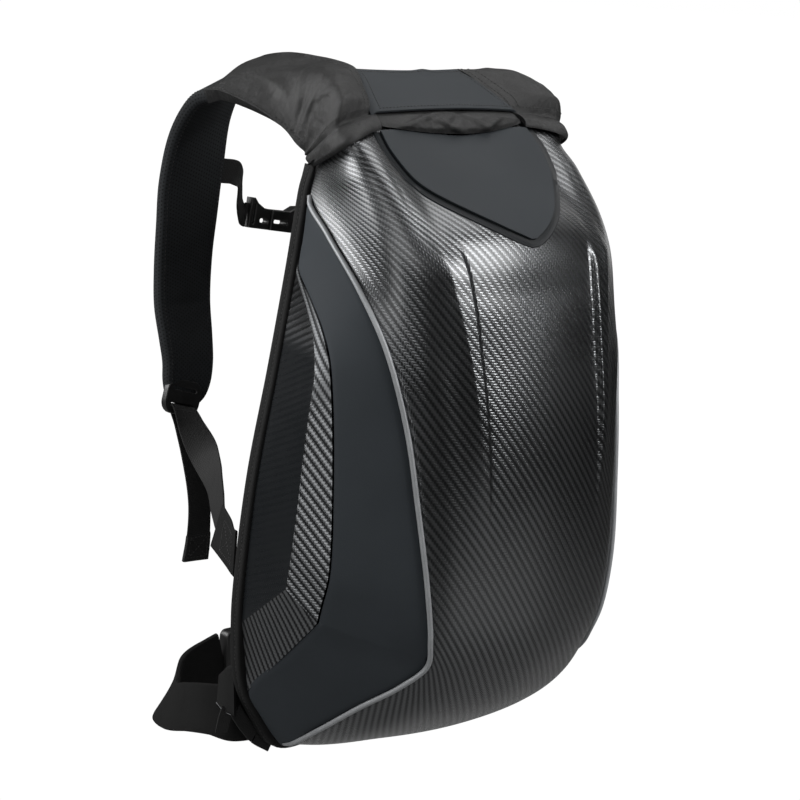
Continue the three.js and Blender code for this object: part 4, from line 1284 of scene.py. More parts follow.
def gusset():
    grid = folded(cross_panel(GUSSET_ROWS, 26, 90), GUSSET_FOLDS)
    cloth = np.concatenate([grid[:, :1] + GUSSET_TUCK * FLIP, grid, grid[:, -1:] + GUSSET_TUCK], axis=1)
    made = wall("slit_gusset", cloth, THIN_WALL)
    fitted(made, NYLON, ["handle_gusset"])
    return made


(neck_panel, neck_grid), slit_gusset = top_panel(), gusset()
print("top panel faces:", len(neck_panel.data.polygons), "gusset faces:", len(slit_gusset.data.polygons))

# %% Yokes
YOKE_COLUMNS = 9
YOKE_GRID = (136, 64)
HEM_LIFT = 3.0
HEM_SECTIONS = (0.1, 0.0)
HEM_ACROSS = (1.97, 0.04)
HEM_CREASE = [(-72.5, -44, 497), (-115, -52, 487), (-103.5, -4, 461)]
# The right yoke bulges outwards; the rows are where that starts, is full, falls and ends
RIGHT_YOKE = {"out": 12.0, "rows": (0.5, 2.5, 7, 9)}
# The yoke ends in a sleeve that takes in the strap's upper end
YOKE_END = {"depth": 10.6, "first_row": 6}
# How far the right strap hangs below the left one, and where behind the back edge that starts and is full
RIGHT_STRAP_DROP = 28.0
YOKE_DROP = (-6, 36)
YOKE_ROWS = [
    {"inner": (-70, -36, 505), "middle": (-110, -50, 506), "outer": (-103, -3, 464)},
    {"inner": (-61, -17, 518), "middle": (-101, -28, 520), "outer": (-107, 3, 470)},
    {"inner": (-54, -1, 527), "middle": (-97, -4, 522), "outer": (-110, 10, 478)},
    {"inner": (-55, 17, 531), "middle": (-92, 16, 521), "outer": (-113, 18, 484)},
    {"inner": (-56, 40, 533), "middle": (-91, 36, 520), "outer": (-116, 31, 491)},
    {"inner": (-58, 70, 534), "middle": (-94, 60, 523.5), "outer": (-121, 52, 499)},
    {"inner": (-60, 98, 530), "middle": (-96, 86, 522), "outer": (-124, 78, 504.5)},
    {"inner": (-59.8, 109.6, 525.6), "middle": (-92.8, 100.1, 514.3), "outer": (-125.8, 90.6, 502.9)},
]
YOKE_FOLDS = [
    {"at": (0.74, 0.318), "turn": 8, "length": 15, "width": 3.4, "rise": 2.0},
    {"at": (0.76, 0.388), "turn": 14, "length": 15, "width": 3.2, "rise": -1.5},
    {"at": (0.60, 0.265), "turn": -32, "length": 14, "width": 3.6, "rise": 1.5},
    {"at": (0.50, 0.353), "turn": 48, "length": 16, "width": 4.0, "rise": 1.3},
    {"at": (0.62, 0.476), "turn": 30, "length": 20, "width": 4.5, "rise": 1.5},
    {"at": (0.78, 0.529), "turn": 62, "length": 24, "width": 4.0, "rise": 1.2},
    {"at": (0.45, 0.194), "turn": 10, "length": 12, "width": 3.5, "rise": -1.2},
    {"at": (0.86, 0.247), "turn": 40, "length": 12, "width": 3.0, "rise": 1.2},
    {"at": (0.30, 0.441), "turn": -50, "length": 24, "width": 5.0, "rise": 1.0},
    {"at": (0.66, 0.671), "turn": 75, "length": 26, "width": 5.0, "rise": 1.1},
]
HEM_ROLL = {"rows": 2.0, "rise": 2.8, "crease": -1.6, "soft": 0.2}


def lowered(points, near, far, drop):
    """Lowers points that lie behind the back edge, fully from the far distance on."""
    points = np.array(points, float)
    points[..., 2] -= drop * smooth(near, far, points[..., 1])
    return points


def yoke_grid(drop):
    """The yoke's coarse points, from the hem on the shell back to the strap."""
    share = np.linspace(0, 1, YOKE_COLUMNS)
    across = np.linspace(*HEM_ACROSS, YOKE_COLUMNS)
    hem = [shell_points(across, np.full(YOKE_COLUMNS, section), HEM_LIFT) for section in HEM_SECTIONS]
    hem.append(curve_at(HEM_CREASE, share * 2))
    rails = [
        lowered([row[name] for row in YOKE_ROWS], *YOKE_DROP, drop) for name in ("inner", "middle", "outer")
    ]
    back = []
    for index in np.linspace(0, len(YOKE_ROWS) - 1, 2 * len(YOKE_ROWS) - 1):
        back.append(curve_at(np.stack([curve_at(rail, index)[0] for rail in rails]), share * 2))
    return np.stack(hem + back)


def yoke(side):
    coarse = yoke_grid(0 if side == "left" else RIGHT_STRAP_DROP)
    if side == "right":
        first, full, fall, last = RIGHT_YOKE["rows"]
        row = np.arange(len(coarse))
        bulge = smooth(first, full, row) * (1 - smooth(fall, last, row))
        bulge = bulge[:, None] * np.sin(np.linspace(0, math.pi, coarse.shape[1]))
        coarse[..., 0] -= RIGHT_YOKE["out"] * bulge
    rows = np.linspace(0, len(coarse) - 1, YOKE_GRID[0])
    grid = folded(refine(coarse, *YOKE_GRID), YOKE_FOLDS)
    roll = HEM_ROLL["rise"] * np.sin(np.clip(rows / HEM_ROLL["rows"], 0, 1) * math.pi) ** 0.7
    crease = HEM_ROLL["crease"] * np.exp(-(((rows - HEM_ROLL["rows"]) / HEM_ROLL["soft"]) ** 2))
    grid = grid + normals_of(grid) * (roll + crease)[:, None, None]
    sleeve = smooth(YOKE_END["first_row"], len(coarse) - 1, rows)
    depth = FABRIC_WALL + (YOKE_END["depth"] - FABRIC_WALL) * sleeve
    grid = grid if side == "left" else mirrored(grid)
    made = soften(wall(f"yoke_cloth_{side}", grid, depth[:, None]), 0.9)
    fitted(made, NYLON, [f"yoke_{side}"])
    return made, grid


yokes = {side: yoke(side) for side in ("left", "right")}
print("yoke faces:", len(yokes["left"][0].data.polygons))

# %% [markdown]
# ## Padded straps and back
# The straps are foam between two fabrics, a knitted mesh towards the wearer and nylon outside, with
# a bound edge all round. A tape measure gives the edge lines; foam gives the swell between them.
# So each pad is lofted thin, its sewn edges are pinned, and Blender's cloth blows the rest up a
# little. The result is capped and kept as a plain mesh.

# %% Cloth that swells between its seams
PUFF_FRAMES = 20


def puffed(made, pinned, pressure, cap):
    """Swells a closed pad by cloth pressure; pinned points stay, and none moves further than the cap."""
    sewn = made.vertex_groups.new(name="sewn")
    sewn.add([int(i) for i in pinned], 1.0, "REPLACE")
    cloth = made.modifiers.new("swell", "CLOTH")
    cloth.settings.use_pressure = True
    cloth.settings.uniform_pressure_force = pressure
    cloth.settings.effector_weights.gravity = 0
    cloth.settings.vertex_group_mass = sewn.name
    cloth.point_cache.frame_start = 1
    cloth.point_cache.frame_end = PUFF_FRAMES
    scene = bpy.context.scene
    for number in range(1, PUFF_FRAMES + 1):
        scene.frame_set(number)
    solved = made.evaluated_get(bpy.context.evaluated_depsgraph_get()).data
    rest = np.zeros(len(made.data.vertices) * 3)
    blown = np.zeros_like(rest)
    made.data.vertices.foreach_get("co", rest)
    solved.vertices.foreach_get("co", blown)
    move = (blown - rest).reshape(-1, 3)
    far = np.linalg.norm(move, axis=1, keepdims=True)
    move *= np.minimum(1, cap * MM / np.maximum(far, 1e-9))
    made.modifiers.remove(cloth)
    made.vertex_groups.remove(sewn)
    made.data.vertices.foreach_set("co", (rest + move.ravel()))
    made.data.update()
    scene.frame_set(1)
    print(made.name, "swelled by up to", round(float(far.max()) / MM, 1), "mm, capped at", cap)
    return made


def smoother(made):
    """Rounds a pad by one level of subdivision."""
    rounder = made.modifiers.new("rounder", "SUBSURF")
    rounder.levels = rounder.render_levels = 1
    return settled(made)


print("cloth swells over", PUFF_FRAMES, "frames")

# %% Shoulder straps
STRAP_THICKNESS = 11.0
STRAP_STEPS = 104
STRAP_PUFF = {"pressure": 3.0, "cap": 2.0}
# How thin the strap is at its very ends, and over how many steps it gets full
STRAP_END = {"share": 0.55, "steps": 3}
STRAP_ROWS = [
    {"inner": (-60, 101.5, 528.5), "outer": (-124, 82, 504.5)},
    {"inner": (-61, 125, 515.5), "outer": (-125.5, 109, 497.5)},
    {"inner": (-62, 143, 484), "outer": (-126, 133, 470)},
    {"inner": (-62, 150, 441), "outer": (-125, 147, 429)},
    {"inner": (-61, 157, 402), "outer": (-122, 153, 392)},
    {"inner": (-58, 166, 368), "outer": (-119, 158, 357)},
    {"inner": (-55, 171, 327), "outer": (-116, 160, 325)},
    {"inner": (-54, 168, 297), "outer": (-112, 157, 297)},
    {"inner": (-56, 163, 275), "outer": (-109, 156, 280)},
    {"inner": (-59, 161.5, 259), "outer": (-106.5, 158, 265)},
    {"inner": (-65, 161.5, 248), "outer": (-102, 159.5, 253)},
    {"inner": (-75, 161.5, 242), "outer": (-94, 160.5, 245)},
]
# The strap's section: the share across, and the share of its thickness in from the outer face
FACE_POINTS, EDGE_POINTS = 15, 6
STRAP_FACE = np.linspace(0.07, 0.93, FACE_POINTS)
STRAP_SECTION = (
    [(share, 0.0) for share in STRAP_FACE]
    + [(0.97, 0.06), (0.992, 0.2), (1.0, 0.38), (1.0, 0.62), (0.992, 0.8), (0.97, 0.94)]
    + [(share, 1.0) for share in STRAP_FACE[::-1]]
    + [(0.03, 0.94), (0.008, 0.8), (0.0, 0.62), (0.0, 0.38), (0.008, 0.2), (0.03, 0.06)]
)
OUTER_EDGE, INNER_EDGE = FACE_POINTS, 2 * FACE_POINTS + EDGE_POINTS
SEWN_EDGE = [start + step for start in (OUTER_EDGE, INNER_EDGE) for step in range(EDGE_POINTS)]


def strap_rings(count):
    index = np.linspace(0, len(STRAP_ROWS) - 1, count)
    inner = curve_at([row["inner"] for row in STRAP_ROWS], index)
    outer = curve_at([row["outer"] for row in STRAP_ROWS], index)
    way = unit(np.gradient((inner + outer) / 2, axis=0))
    outward = unit(np.cross(way, outer - inner))
    step = np.arange(count)
    full = smooth(-STRAP_END["steps"], STRAP_END["steps"], np.minimum(step, count - 1 - step))
    thick = STRAP_END["share"] + (1 - STRAP_END["share"]) * full[:, None]
    rings = []
    for share, depth in STRAP_SECTION:
        centred = 0.5 + (depth - 0.5) * thick
        rings.append(inner * (1 - share) + outer * share - outward * centred * STRAP_THICKNESS)
    return np.stack(rings, axis=1)


def shoulder_strap(side):
    rings = strap_rings(STRAP_STEPS)
    count, sides = rings.shape[:2]
    if side == "right":
        rings = (rings * FLIP)[:, ::-1] - [0, 0, RIGHT_STRAP_DROP]
    made = loft(f"strap_pad_{side}", rings)
    edge = np.array(SEWN_EDGE) if side == "left" else sides - 1 - np.array(SEWN_EDGE)
    pinned = (np.arange(count)[:, None] * sides + edge).ravel()
    caps = np.concatenate([np.arange(sides), np.arange((count - 1) * sides, count * sides + 2)])
    puffed(made, np.concatenate([pinned, caps]), **STRAP_PUFF)
    part = np.zeros(len(made.data.polygons), int)
    face = np.arange((count - 1) * sides) % sides
    face = face if side == "left" else sides - 1 - (face + 1) % sides
    bound = (face >= OUTER_EDGE - 1) & (face < OUTER_EDGE + EDGE_POINTS) | (face >= INNER_EDGE - 1)
    part[: len(face)] = np.select([bound, face < FACE_POINTS], [2, 1], 0)
    made.data.polygons.foreach_set("material_index", part)
    smoother(made)
    fitted(made, [MESH, TAB_CLOTH, STRAP_EDGE], [f"shoulder_strap_{side}"])
    return made, rings


straps = {side: shoulder_strap(side) for side in ("left", "right")}
print("strap faces:", len(straps["left"][0].data.polygons))

# %% Back panel
PAD = {"stand": 13.0, "edge_stand": 3.0, "inner": -8.0, "fall": 26.0, "gap": 0.45, "grid": (96, 61)}
PAD_PUFF = {"pressure": 3.0, "cap": 2.5}
# The sewn channels: their depth, half width as a share of the pad's, and how far from the edge they fade
CHANNEL = {"depth": 3.5, "half": 0.035, "fade": (20, 40), "sewn": 0.02, "sewn_from": 30}
# How wide the pad is sewn down along its edge
PAD_EDGE = 4
# The lowest row of the back edge's table that still belongs to the side
LOW_ROW = 10
NECK_ROWS = [{"half": 84, "height": 472}, {"half": 62, "height": 496}, {"half": 46, "height": 507}]
SEWN_LINES = (-0.36, 0.36)


def back_panel():
    inset = TAPE_INSIDE + PAD["gap"]
    seam = curve_at(LEFT_EDGE, np.linspace(LOW_ROW, 0, 80))
    way = np.gradient(seam, axis=0)
    half = -seam[:, 0] - inset * np.hypot(1, way[:, 0] / np.where(abs(way[:, 2]) < 1e-6, -1, way[:, 2]))
    half[0], low = half[1], BACK_EDGE[LOW_ROW]["height"] + inset
    tall = np.append(np.maximum(seam[:, 2], low), [row["height"] for row in NECK_ROWS])
    half = np.append(half, [row["half"] for row in NECK_ROWS])
    heights = np.linspace(NECK_ROWS[-1]["height"], low, PAD["grid"][0])
    halves = np.interp(heights, tall, half)[:, None]
    share = -np.linspace(-1, 1, PAD["grid"][1])[None]
    across = share * halves
    room = np.minimum(halves - abs(across), np.minimum(heights - low, heights[0] - heights)[:, None])
    stand = PAD["edge_stand"] + (PAD["stand"] - PAD["edge_stand"]) * smooth(0, PAD["fall"], room)
    sewn = np.zeros(across.shape, bool)
    for line in SEWN_LINES:
        near = abs(share - line)
        sewn |= (near < CHANNEL["sewn"]) & (room > CHANNEL["sewn_from"])
        sunk = np.exp(-((near / CHANNEL["half"]) ** 2)) * smooth(*CHANNEL["fade"], room)
        stand = stand - CHANNEL["depth"] * sunk
    height = np.broadcast_to(heights[:, None], across.shape)
    rear = np.stack([across, stand, height], axis=-1)
    inner = np.stack([across, np.full(across.shape, PAD["inner"]), height], axis=-1)
    made = slab("back_pad", rear, inner)
    held = np.flatnonzero((sewn | (room < PAD_EDGE)).ravel())
    front_face = len(made.data.vertices) // 2 + np.arange(len(made.data.vertices) // 2)
    puffed(made, np.concatenate([held, front_face]), **PAD_PUFF)
    smoother(made)
    fitted(made, MESH, ["back_panel"])
    return made, rear


back_pad, back_grid = back_panel()
print("back pad faces:", len(back_pad.data.polygons))

# %% [markdown]
# ## Webbing, belt and tabs
# Webbing is flat, so it bends one way and hardly the other. Each strap is a ribbon along a route:
# a row for each bend gives a point and the turn of the ribbon's width. The section is a thin lens
# with a rounded selvedge. The free tails end in a folded, sewn hem.

# %% Ribbons
WEBBING_THICKNESS = 1.8
RIPPLE = {"length": 19.0, "start": 30}
# The ribbon's section: the share across its half width, and the share of half its thickness
RIBBON_TOP = [(-1.0, 0.35), (-0.97, 0.85), (-0.85, 1.0), (-0.5, 0.92), (0.0, 0.9)]
RIBBON_TOP += [(-share, lift) for share, lift in RIBBON_TOP[-2::-1]]
RIBBON_SECTION = RIBBON_TOP + [(share, -lift) for share, lift in RIBBON_TOP[::-1]]


def ribbon(name, route, width, thickness, side, count=90, lower=None, hem=0.0, wave=0.0):
    """A ribbon along a route; turn swings its width from X towards Z, and lean tips it along Y."""
    at = np.array([row["at"] for row in route], float)
    at = at if lower is None else lower(at)
    index = np.linspace(0, len(route) - 1, count)
    centre = curve_at(at, index)
    way = unit(np.gradient(centre, axis=0))
    turns = [math.radians(row["turn"]) for row in route]
    tips = [(math.cos(t), row.get("lean", 0), math.sin(t)) for t, row in zip(turns, route)]
    tip = curve_at(tips, index)
    across = unit(tip - way * np.sum(tip * way, axis=1, keepdims=True))
    face = unit(np.cross(way, across))
    half = curve_at([(row.get("width", width), i, 0) for i, row in enumerate(route)], index)[:, :1] / 2
    run = lengths(centre)
    folded_end = 1 + smooth(run[-1] - hem, run[-1] - hem + 2, run) if hem else np.ones(count)
    ripple = (wave * np.sin(run / RIPPLE["length"]) * smooth(0, RIPPLE["start"], run))[:, None]
    rings = []
    for share, lift in RIBBON_SECTION:
        high = lift * thickness / 2 * folded_end[:, None] + ripple * share
        rings.append(centre + across * half * share + face * high)
    rings = np.stack(rings, axis=1)
    if side == "right":
        rings = (rings * FLIP)[:, ::-1]
    wide = np.array([share for share, lift in RIBBON_SECTION]) * width / 2
    wide = wide if side == "left" else wide[::-1]
    made = loft(name, rings, around=np.append(wide, wide[0]), along=run)
    made["run"] = float(run[-1])
    return made


def sewn_sheet(made):
    """Returns the ribbon as it is, and does nothing else to it."""
    return made


print("ribbon section points:", len(RIBBON_SECTION))

# %% Strap webbing, tails and anchors
STRAP_WEBBING_WIDTH = 25
STRAP_WEBBING_ROUTE = [
    {"at": (-91.7, 152, 243.6), "turn": -14},
    {"at": (-91.7, 145.5, 242.5), "turn": -14},
    {"at": (-91.5, 134, 229), "turn": 12},
    {"at": (-97, 110, 211), "turn": 50},
    {"at": (-108, 84, 198), "turn": 70},
    {"at": (-120, 64, 184.5), "turn": 82, "lean": -0.3},
    {"at": (-128.8, 48.6, 173.2), "turn": 93, "lean": -0.35},
    {"at": (-134.9, 35, 167.7), "turn": 94, "lean": -0.25},
]
STRAP_TAIL_ROUTE = [
    {"at": (-87, 155, 245), "turn": 0},
    {"at": (-82, 154.5, 232), "turn": 0},
    {"at": (-78, 148, 206), "turn": 0},
    {"at": (-74, 143, 165), "turn": 0},
    {"at": (-73, 144, 132), "turn": 0},
    {"at": (-73, 147, 112), "turn": 0},
]
ANCHOR_WIDTH = 36
ANCHOR_ROUTE = [
    {"at": (-131, 50, 169), "turn": 90, "lean": -0.5},
    {"at": (-141, 26, 164), "turn": 90, "lean": -0.25},
    {"at": (-149, 9, 160), "turn": 90},
    {"at": (-151.2, 3, 159.5), "turn": 90, "width": 37},
]
TAIL = {"hem": 24, "wave": 1.2}
WEBBING_DROP = (66, 134)


def strap_webbing(side):
    drop = 0 if side == "left" else RIGHT_STRAP_DROP
    width = STRAP_WEBBING_WIDTH
    flat = {"width": width, "thickness": WEBBING_THICKNESS, "side": side}

    def hung(points):
        return points - [0, 0, drop]

    def eased(points):
        return lowered(points, *WEBBING_DROP, drop)

    load = ribbon(f"load_webbing_{side}", STRAP_WEBBING_ROUTE, lower=eased, **flat)
    fitted(load, WEBBING, [f"strap_webbing_{side}"])
    sewn_sheet(load)
    tail = ribbon(f"tail_webbing_{side}", STRAP_TAIL_ROUTE, lower=hung, **flat, **TAIL)
    fitted(tail, WEBBING, [f"strap_tail_{side}"])
    sewn_sheet(tail)
    anchor = ribbon(f"anchor_tab_{side}", ANCHOR_ROUTE, ANCHOR_WIDTH, FABRIC_WALL, side, count=40)
    fitted(anchor, TAB_CLOTH, [f"strap_anchor_{side}"])
    sewn_sheet(anchor)
    return load, tail, anchor


webbings = [strap_webbing(side) for side in ("left", "right")]
print("left webbing, tail and anchor tab:", [round(piece["run"]) for piece in webbings[0]], "mm long")

# %% Belt, hip tabs and loops
BELT_WIDTH, BELT_THICKNESS = 45, 5
BELT_ROUTE = [
    {"at": (-94, 17, 24), "turn": 90},
    {"at": (-114, 17, 24), "turn": 90},
    {"at": (-131, 23, 24), "turn": 90},
    {"at": (-138, 44, 23), "turn": 90, "width": 41},
    {"at": (-131, 80, 14), "turn": 86, "lean": -0.15, "width": 39},
    {"at": (-118, 115, 3), "turn": 80, "lean": -0.3, "width": 39},
    {"at": (-100, 144, 0), "turn": 74, "lean": -0.45, "width": 41},
    {"at": (-72, 156, 8), "turn": 90, "lean": -0.15},
    {"at": (-46, 157.5, 15), "turn": 91},
    {"at": (-32, 157.5, 19.5), "turn": 90},
]
HIP_TAB_WIDTH = 33
HIP_TAB_ROUTE = [
    {"at": (-147, 2.8, 51), "turn": 82, "width": 40},
    {"at": (-148, 12, 49), "turn": 82, "width": 34},
    {"at": (-147, 22, 47), "turn": 80, "width": 22},
]
HIP_STRAP_WIDTH = 10
HIP_STRAP_ROUTE = [
    {"at": (-148.5, 8, 36), "turn": 30, "lean": -0.7},
    {"at": (-148.5, 12, 26), "turn": 30, "lean": -0.7},
    {"at": (-146, 18, 13), "turn": 30, "lean": -0.7},
]
HIP_PIPING_RADIUS = 0.8
HIP_PIPING = [(-147.5, 4, 31), (-149, 12, 32.5), (-148.5, 21.5, 36.5)]
BELT_LOOP_WIDTH = 11
BELT_LOOP_ROUTE = [
    {"at": (-145, 3.4, 34), "turn": -20},
    {"at": (-137, 3.4, 23), "turn": -35},
    {"at": (-124, 3.4, 9), "turn": -42},
    {"at": (-108, 3.4, -1), "turn": -58},
]


def belt(side):
    band = ribbon(f"belt_band_{side}", BELT_ROUTE, BELT_WIDTH, BELT_THICKNESS, side, count=150, wave=1.0)
    fitted(band, BELT_CLOTH, [f"belt_{side}"])
    sewn_sheet(band)
    tab = ribbon(f"hip_tab_cloth_{side}", HIP_TAB_ROUTE, HIP_TAB_WIDTH, FABRIC_WALL, side, count=30)
    fitted(tab, TAB_CLOTH, [f"hip_tab_{side}"])
    sewn_sheet(tab)
    loop = ribbon(f"belt_loop_tape_{side}", BELT_LOOP_ROUTE, BELT_LOOP_WIDTH, FABRIC_WALL, side, count=40)
    fitted(loop, WEBBING, [f"belt_loop_{side}"])
    sewn_sheet(loop)
    strip = ribbon(f"hip_strap_{side}", HIP_STRAP_ROUTE, HIP_STRAP_WIDTH, WEBBING_THICKNESS, side, count=30)
    fitted(strip, WEBBING, [])
    sewn_sheet(strip)
    edge = curve_at(HIP_PIPING, np.linspace(0, 2, 24)) * (1 if side == "left" else FLIP)
    sizes = {"Radius": HIP_PIPING_RADIUS}
    cord = along_paths(f"hip_tab_piping_{side}", SWEPT_CORD, [edge], sizes, REFLECTIVE)
    fitted(cord, REFLECTIVE, [])
    return band, tab, loop


belts = [belt(side) for side in ("left", "right")]
print("each belt band is", round(belts[0][0]["run"]), "mm long")

# %% Chest webbing
STERNUM_WIDTH = 20
STERNUM_LEFT_ROUTE = [
    {"at": (-70, 144, 435), "turn": 90},
    {"at": (-60, 143, 434.4), "turn": 90},
    {"at": (-50, 141.5, 433), "turn": 90},
    {"at": (-43, 143, 428), "turn": 60, "lean": 0.4},
    {"at": (-40, 146, 418), "turn": 10, "lean": 0.9},
    {"at": (-38, 148, 406), "turn": 10, "lean": 0.8},
    {"at": (-33, 150, 398), "turn": 70, "lean": 0.3},
    {"at": (-28.8, 150, 396.8), "turn": 90},
]
STERNUM_RIGHT_ROUTE = [
    {"at": (33.4, 150, 392.4), "turn": 90},
    {"at": (44, 149.5, 392.4), "turn": 90},
    {"at": (52, 148.5, 394), "turn": 92},
    {"at": (57.6, 147.5, 395.5), "turn": 90},
]


def chest_webbing(side, route):
    made = ribbon(f"chest_webbing_{side}", route, STERNUM_WIDTH, WEBBING_THICKNESS, "left", count=60)
    fitted(made, WEBBING, [f"sternum_webbing_{side}"])
    return sewn_sheet(made)


chest = [
    chest_webbing("left", STERNUM_LEFT_ROUTE),
    chest_webbing("right", STERNUM_RIGHT_ROUTE),
]
print("chest webbing:", [round(piece["run"]) for piece in chest], "mm long")

# %% [markdown]
# ## Buckles and locks
# These are moulded plastic, drawn as flat outlines with a little depth and a rounded edge, which is
# just what a filled 2D curve with a bevel gives. Each becomes a mesh before it is turned into place.

# %% Moulded plates


def plate(name, outlines, depth, edge, centre, tilt, flip=False):
    """A plate in the XZ plane from closed outlines in millimetres, holes included."""
    curve = bpy.data.curves.new(name, "CURVE")
    curve.dimensions = "2D"
    curve.fill_mode = "BOTH"
    curve.extrude = depth / 2 - edge
    curve.bevel_depth = edge
    curve.bevel_resolution = 2
    curve.offset = -edge
    for outline in outlines:
        spline = curve.splines.new("POLY")
        spline.points.add(len(outline) - 1)
        spline.points.foreach_set("co", np.array([(x, z, 0, 1) for x, z in outline], float).ravel())
        spline.use_cyclic_u = True
    drawn = bpy.data.objects.new(name, curve)
    bpy.context.scene.collection.objects.link(drawn)
    mesh = bpy.data.meshes.new_from_object(drawn.evaluated_get(bpy.context.evaluated_depsgraph_get()))
    bpy.data.objects.remove(drawn)
    points = np.zeros(len(mesh.vertices) * 3)
    mesh.vertices.foreach_get("co", points)
    x, z, y = points.reshape(-1, 3).T
    level, rise = math.cos(math.radians(tilt)), math.sin(math.radians(tilt))
    placed_points = np.stack([x * level + z * rise, -y, z * level - x * rise], axis=1)
    placed_points += np.asarray(centre, float)
    placed_points = placed_points * FLIP if flip else placed_points
    mesh.vertices.foreach_set("co", to_frame(placed_points).ravel())
    if flip:
        mesh.flip_normals()
    mesh.update()
    mesh.shade_smooth()
    mesh.set_sharp_from_angle(angle=math.radians(40))
    mesh.name = name
    made = bpy.data.objects.new(name, mesh)
    bpy.context.scene.collection.objects.link(made)
    return made


def rounded(length, height, radius, x=0.0, z=0.0):
    """A rectangle with round corners."""
    corners = [(1, 1, 0), (-1, 1, 90), (-1, -1, 180), (1, -1, 270)]
    outline = []
    for right, up, start in corners:
        middle_x, middle_z = x + right * (length / 2 - radius), z + up * (height / 2 - radius)
        for angle in np.radians(np.linspace(start, start + 90, 6)):
            outline.append((middle_x + radius * math.cos(angle), middle_z + radius * math.sin(angle)))
    return outline


def joined(name, pieces):
    """Several meshes made into one object."""
    with bpy.context.temp_override(active_object=pieces[0], selected_editable_objects=pieces):
        bpy.ops.object.join()
    pieces[0].name = pieces[0].data.name = name
    return pieces[0]


print("plate maker ready")

# %% Ladder locks
LOCK = {"centre": (-90, 150.5, 250.2), "tilt": 14.5, "width": 36, "height": 29, "depth": 6, "round": 10}
LOCK_SLOT = {"length": 24, "height": 2.4, "round": 1.2, "share": 0.235}
# How far the edges of the moulded pieces are rounded
LOCK_EDGE, BUCKLE_EDGE, RIB_EDGE, CLASP_EDGE = 1.0, 1.1, 0.5, 1.8


def ladder_lock(side):
    slot_z = LOCK["height"] * LOCK_SLOT["share"]
    slot = [LOCK_SLOT[name] for name in ("length", "height", "round")]
    holes = [rounded(*slot, z=sign * slot_z)[::-1] for sign in (-1, 1)]
    drop = 0 if side == "left" else RIGHT_STRAP_DROP
    centre = np.array(LOCK["centre"], float) - [0, 0, drop]
    outlines = [rounded(LOCK["width"], LOCK["height"], LOCK["round"])] + holes
    place = (centre, LOCK["tilt"], side == "right")
    made = plate(f"ladder_lock_{side}", outlines, LOCK["depth"], LOCK_EDGE, *place)
    return fitted(made, PLASTIC, [f"strap_lock_{side}"])


locks = [ladder_lock(side) for side in ("left", "right")]
print("ladder lock faces:", len(locks[0].data.polygons))

# %% Chest buckle and belt clasp
CHEST_BUCKLE = {"centre": (2, 150, 394.5), "tilt": 8}
# Outlines from the buckle's middle, in millimetres across and up
PLUG = {
    "outline": [(-30, -11), (-30, 13), (-26, 13), (-22, 9), (-15, 5.5), (-7.6, 5), (-7.6, -12), (-28, -12)],
    "slots": [rounded(2.2, 17, 1.0, x=-25.6), rounded(9, 3.6, 1.6, x=-14, z=-5)],
    "depth": 8,
}
SOCKET = {
    "outline": [(-7.2, -12), (-7.2, 5), (12, 5.5), (19, 10), (27, 11), (30, 8), (30, -9), (27, -12)],
    "slots": [rounded(15, 3.2, 1.4, x=3, z=-4.5)],
    "depth": 11,
}
SOCKET_RIBS = [rounded(1.6, 12, 0.7, x=25 - 3.2 * step, z=-1) for step in range(3)]
RIB_STAND = 1.0
CLASP = {"centre": (0, 157.5, 21), "length": 62, "height": 42, "depth": 12, "round": 6}


def chest_buckle():
    place = (CHEST_BUCKLE["centre"], CHEST_BUCKLE["tilt"])
    plug, body = [
        plate(name, [half["outline"]] + half["slots"], half["depth"], BUCKLE_EDGE, *place)
        for name, half in (("chest_plug", PLUG), ("chest_socket_body", SOCKET))
    ]
    ribs = [plate("rib", [rib], SOCKET["depth"] + RIB_STAND, RIB_EDGE, *place) for rib in SOCKET_RIBS]
    socket = joined("chest_socket", [body] + ribs)
    fitted(plug, PLASTIC, ["sternum_plug"])
    fitted(socket, PLASTIC, ["sternum_socket"])
    return socket, plug


def belt_clasp():
    outline = rounded(CLASP["length"], CLASP["height"], CLASP["round"])
    made = plate("belt_clasp", [outline], CLASP["depth"], CLASP_EDGE, CLASP["centre"], 0)
    return fitted(made, PLASTIC, ["belt_buckle"])


chest_socket, chest_plug = chest_buckle()
clasp = belt_clasp()
print("buckle faces:", [len(piece.data.polygons) for piece in (chest_socket, chest_plug, clasp)])

# %% [markdown]
# ## Stitches
# Every seam of the bag is sewn, so the seam lines come from the grids that made the cloth and are
# laid on the finished pieces. One Geometry Nodes tree then walks along all of them. It steps by the
# length of a stitch, sets a small thread bead at each step and turns it along the seam.

# %% Seam lines
STITCH_LIFT = 0.1
# Rows and columns of the cloth grids that are sewn
HEM_LINE, YOKE_SIDE_ROWS, YOKE_SIDE_COLUMNS, YOKE_EDGE_COLUMN = 19, slice(20, 92), (2, 6), 61
NECK_ROW_LINES, NECK_COLUMN_LINES, SEWN_SPAN, NECK_DEPTH = (36, 3), (2, 61), slice(2, 62), slice(3, 37)
BACK_COLUMNS, BACK_SPAN = (19, 41), slice(14, 82)
STRAP_SEAMS, STRAP_SPAN = (0, 14, 21, 35), slice(3, -3)
TAPE_LINE = {"out": 3, "back": -4.6}
TAIL_BOX = {"half": 9, "low": 115, "high": 133}
ANCHOR_BOX = {"front": (-147, 13, 161), "rear": (-136, 38, 166), "half": 12, "off": (-5, -2, 0)}


def laid_on(made, path):
    """Drops a line onto a piece, a little above its surface."""
    surface = BVHTree.FromObject(made, bpy.context.evaluated_depsgraph_get())
    hits = [surface.find_nearest(Vector(point)) for point in to_frame(path)]
    return np.array([place + normal * STITCH_LIFT * MM for place, normal, _, _ in hits]) / MM + FRAME_ORIGIN


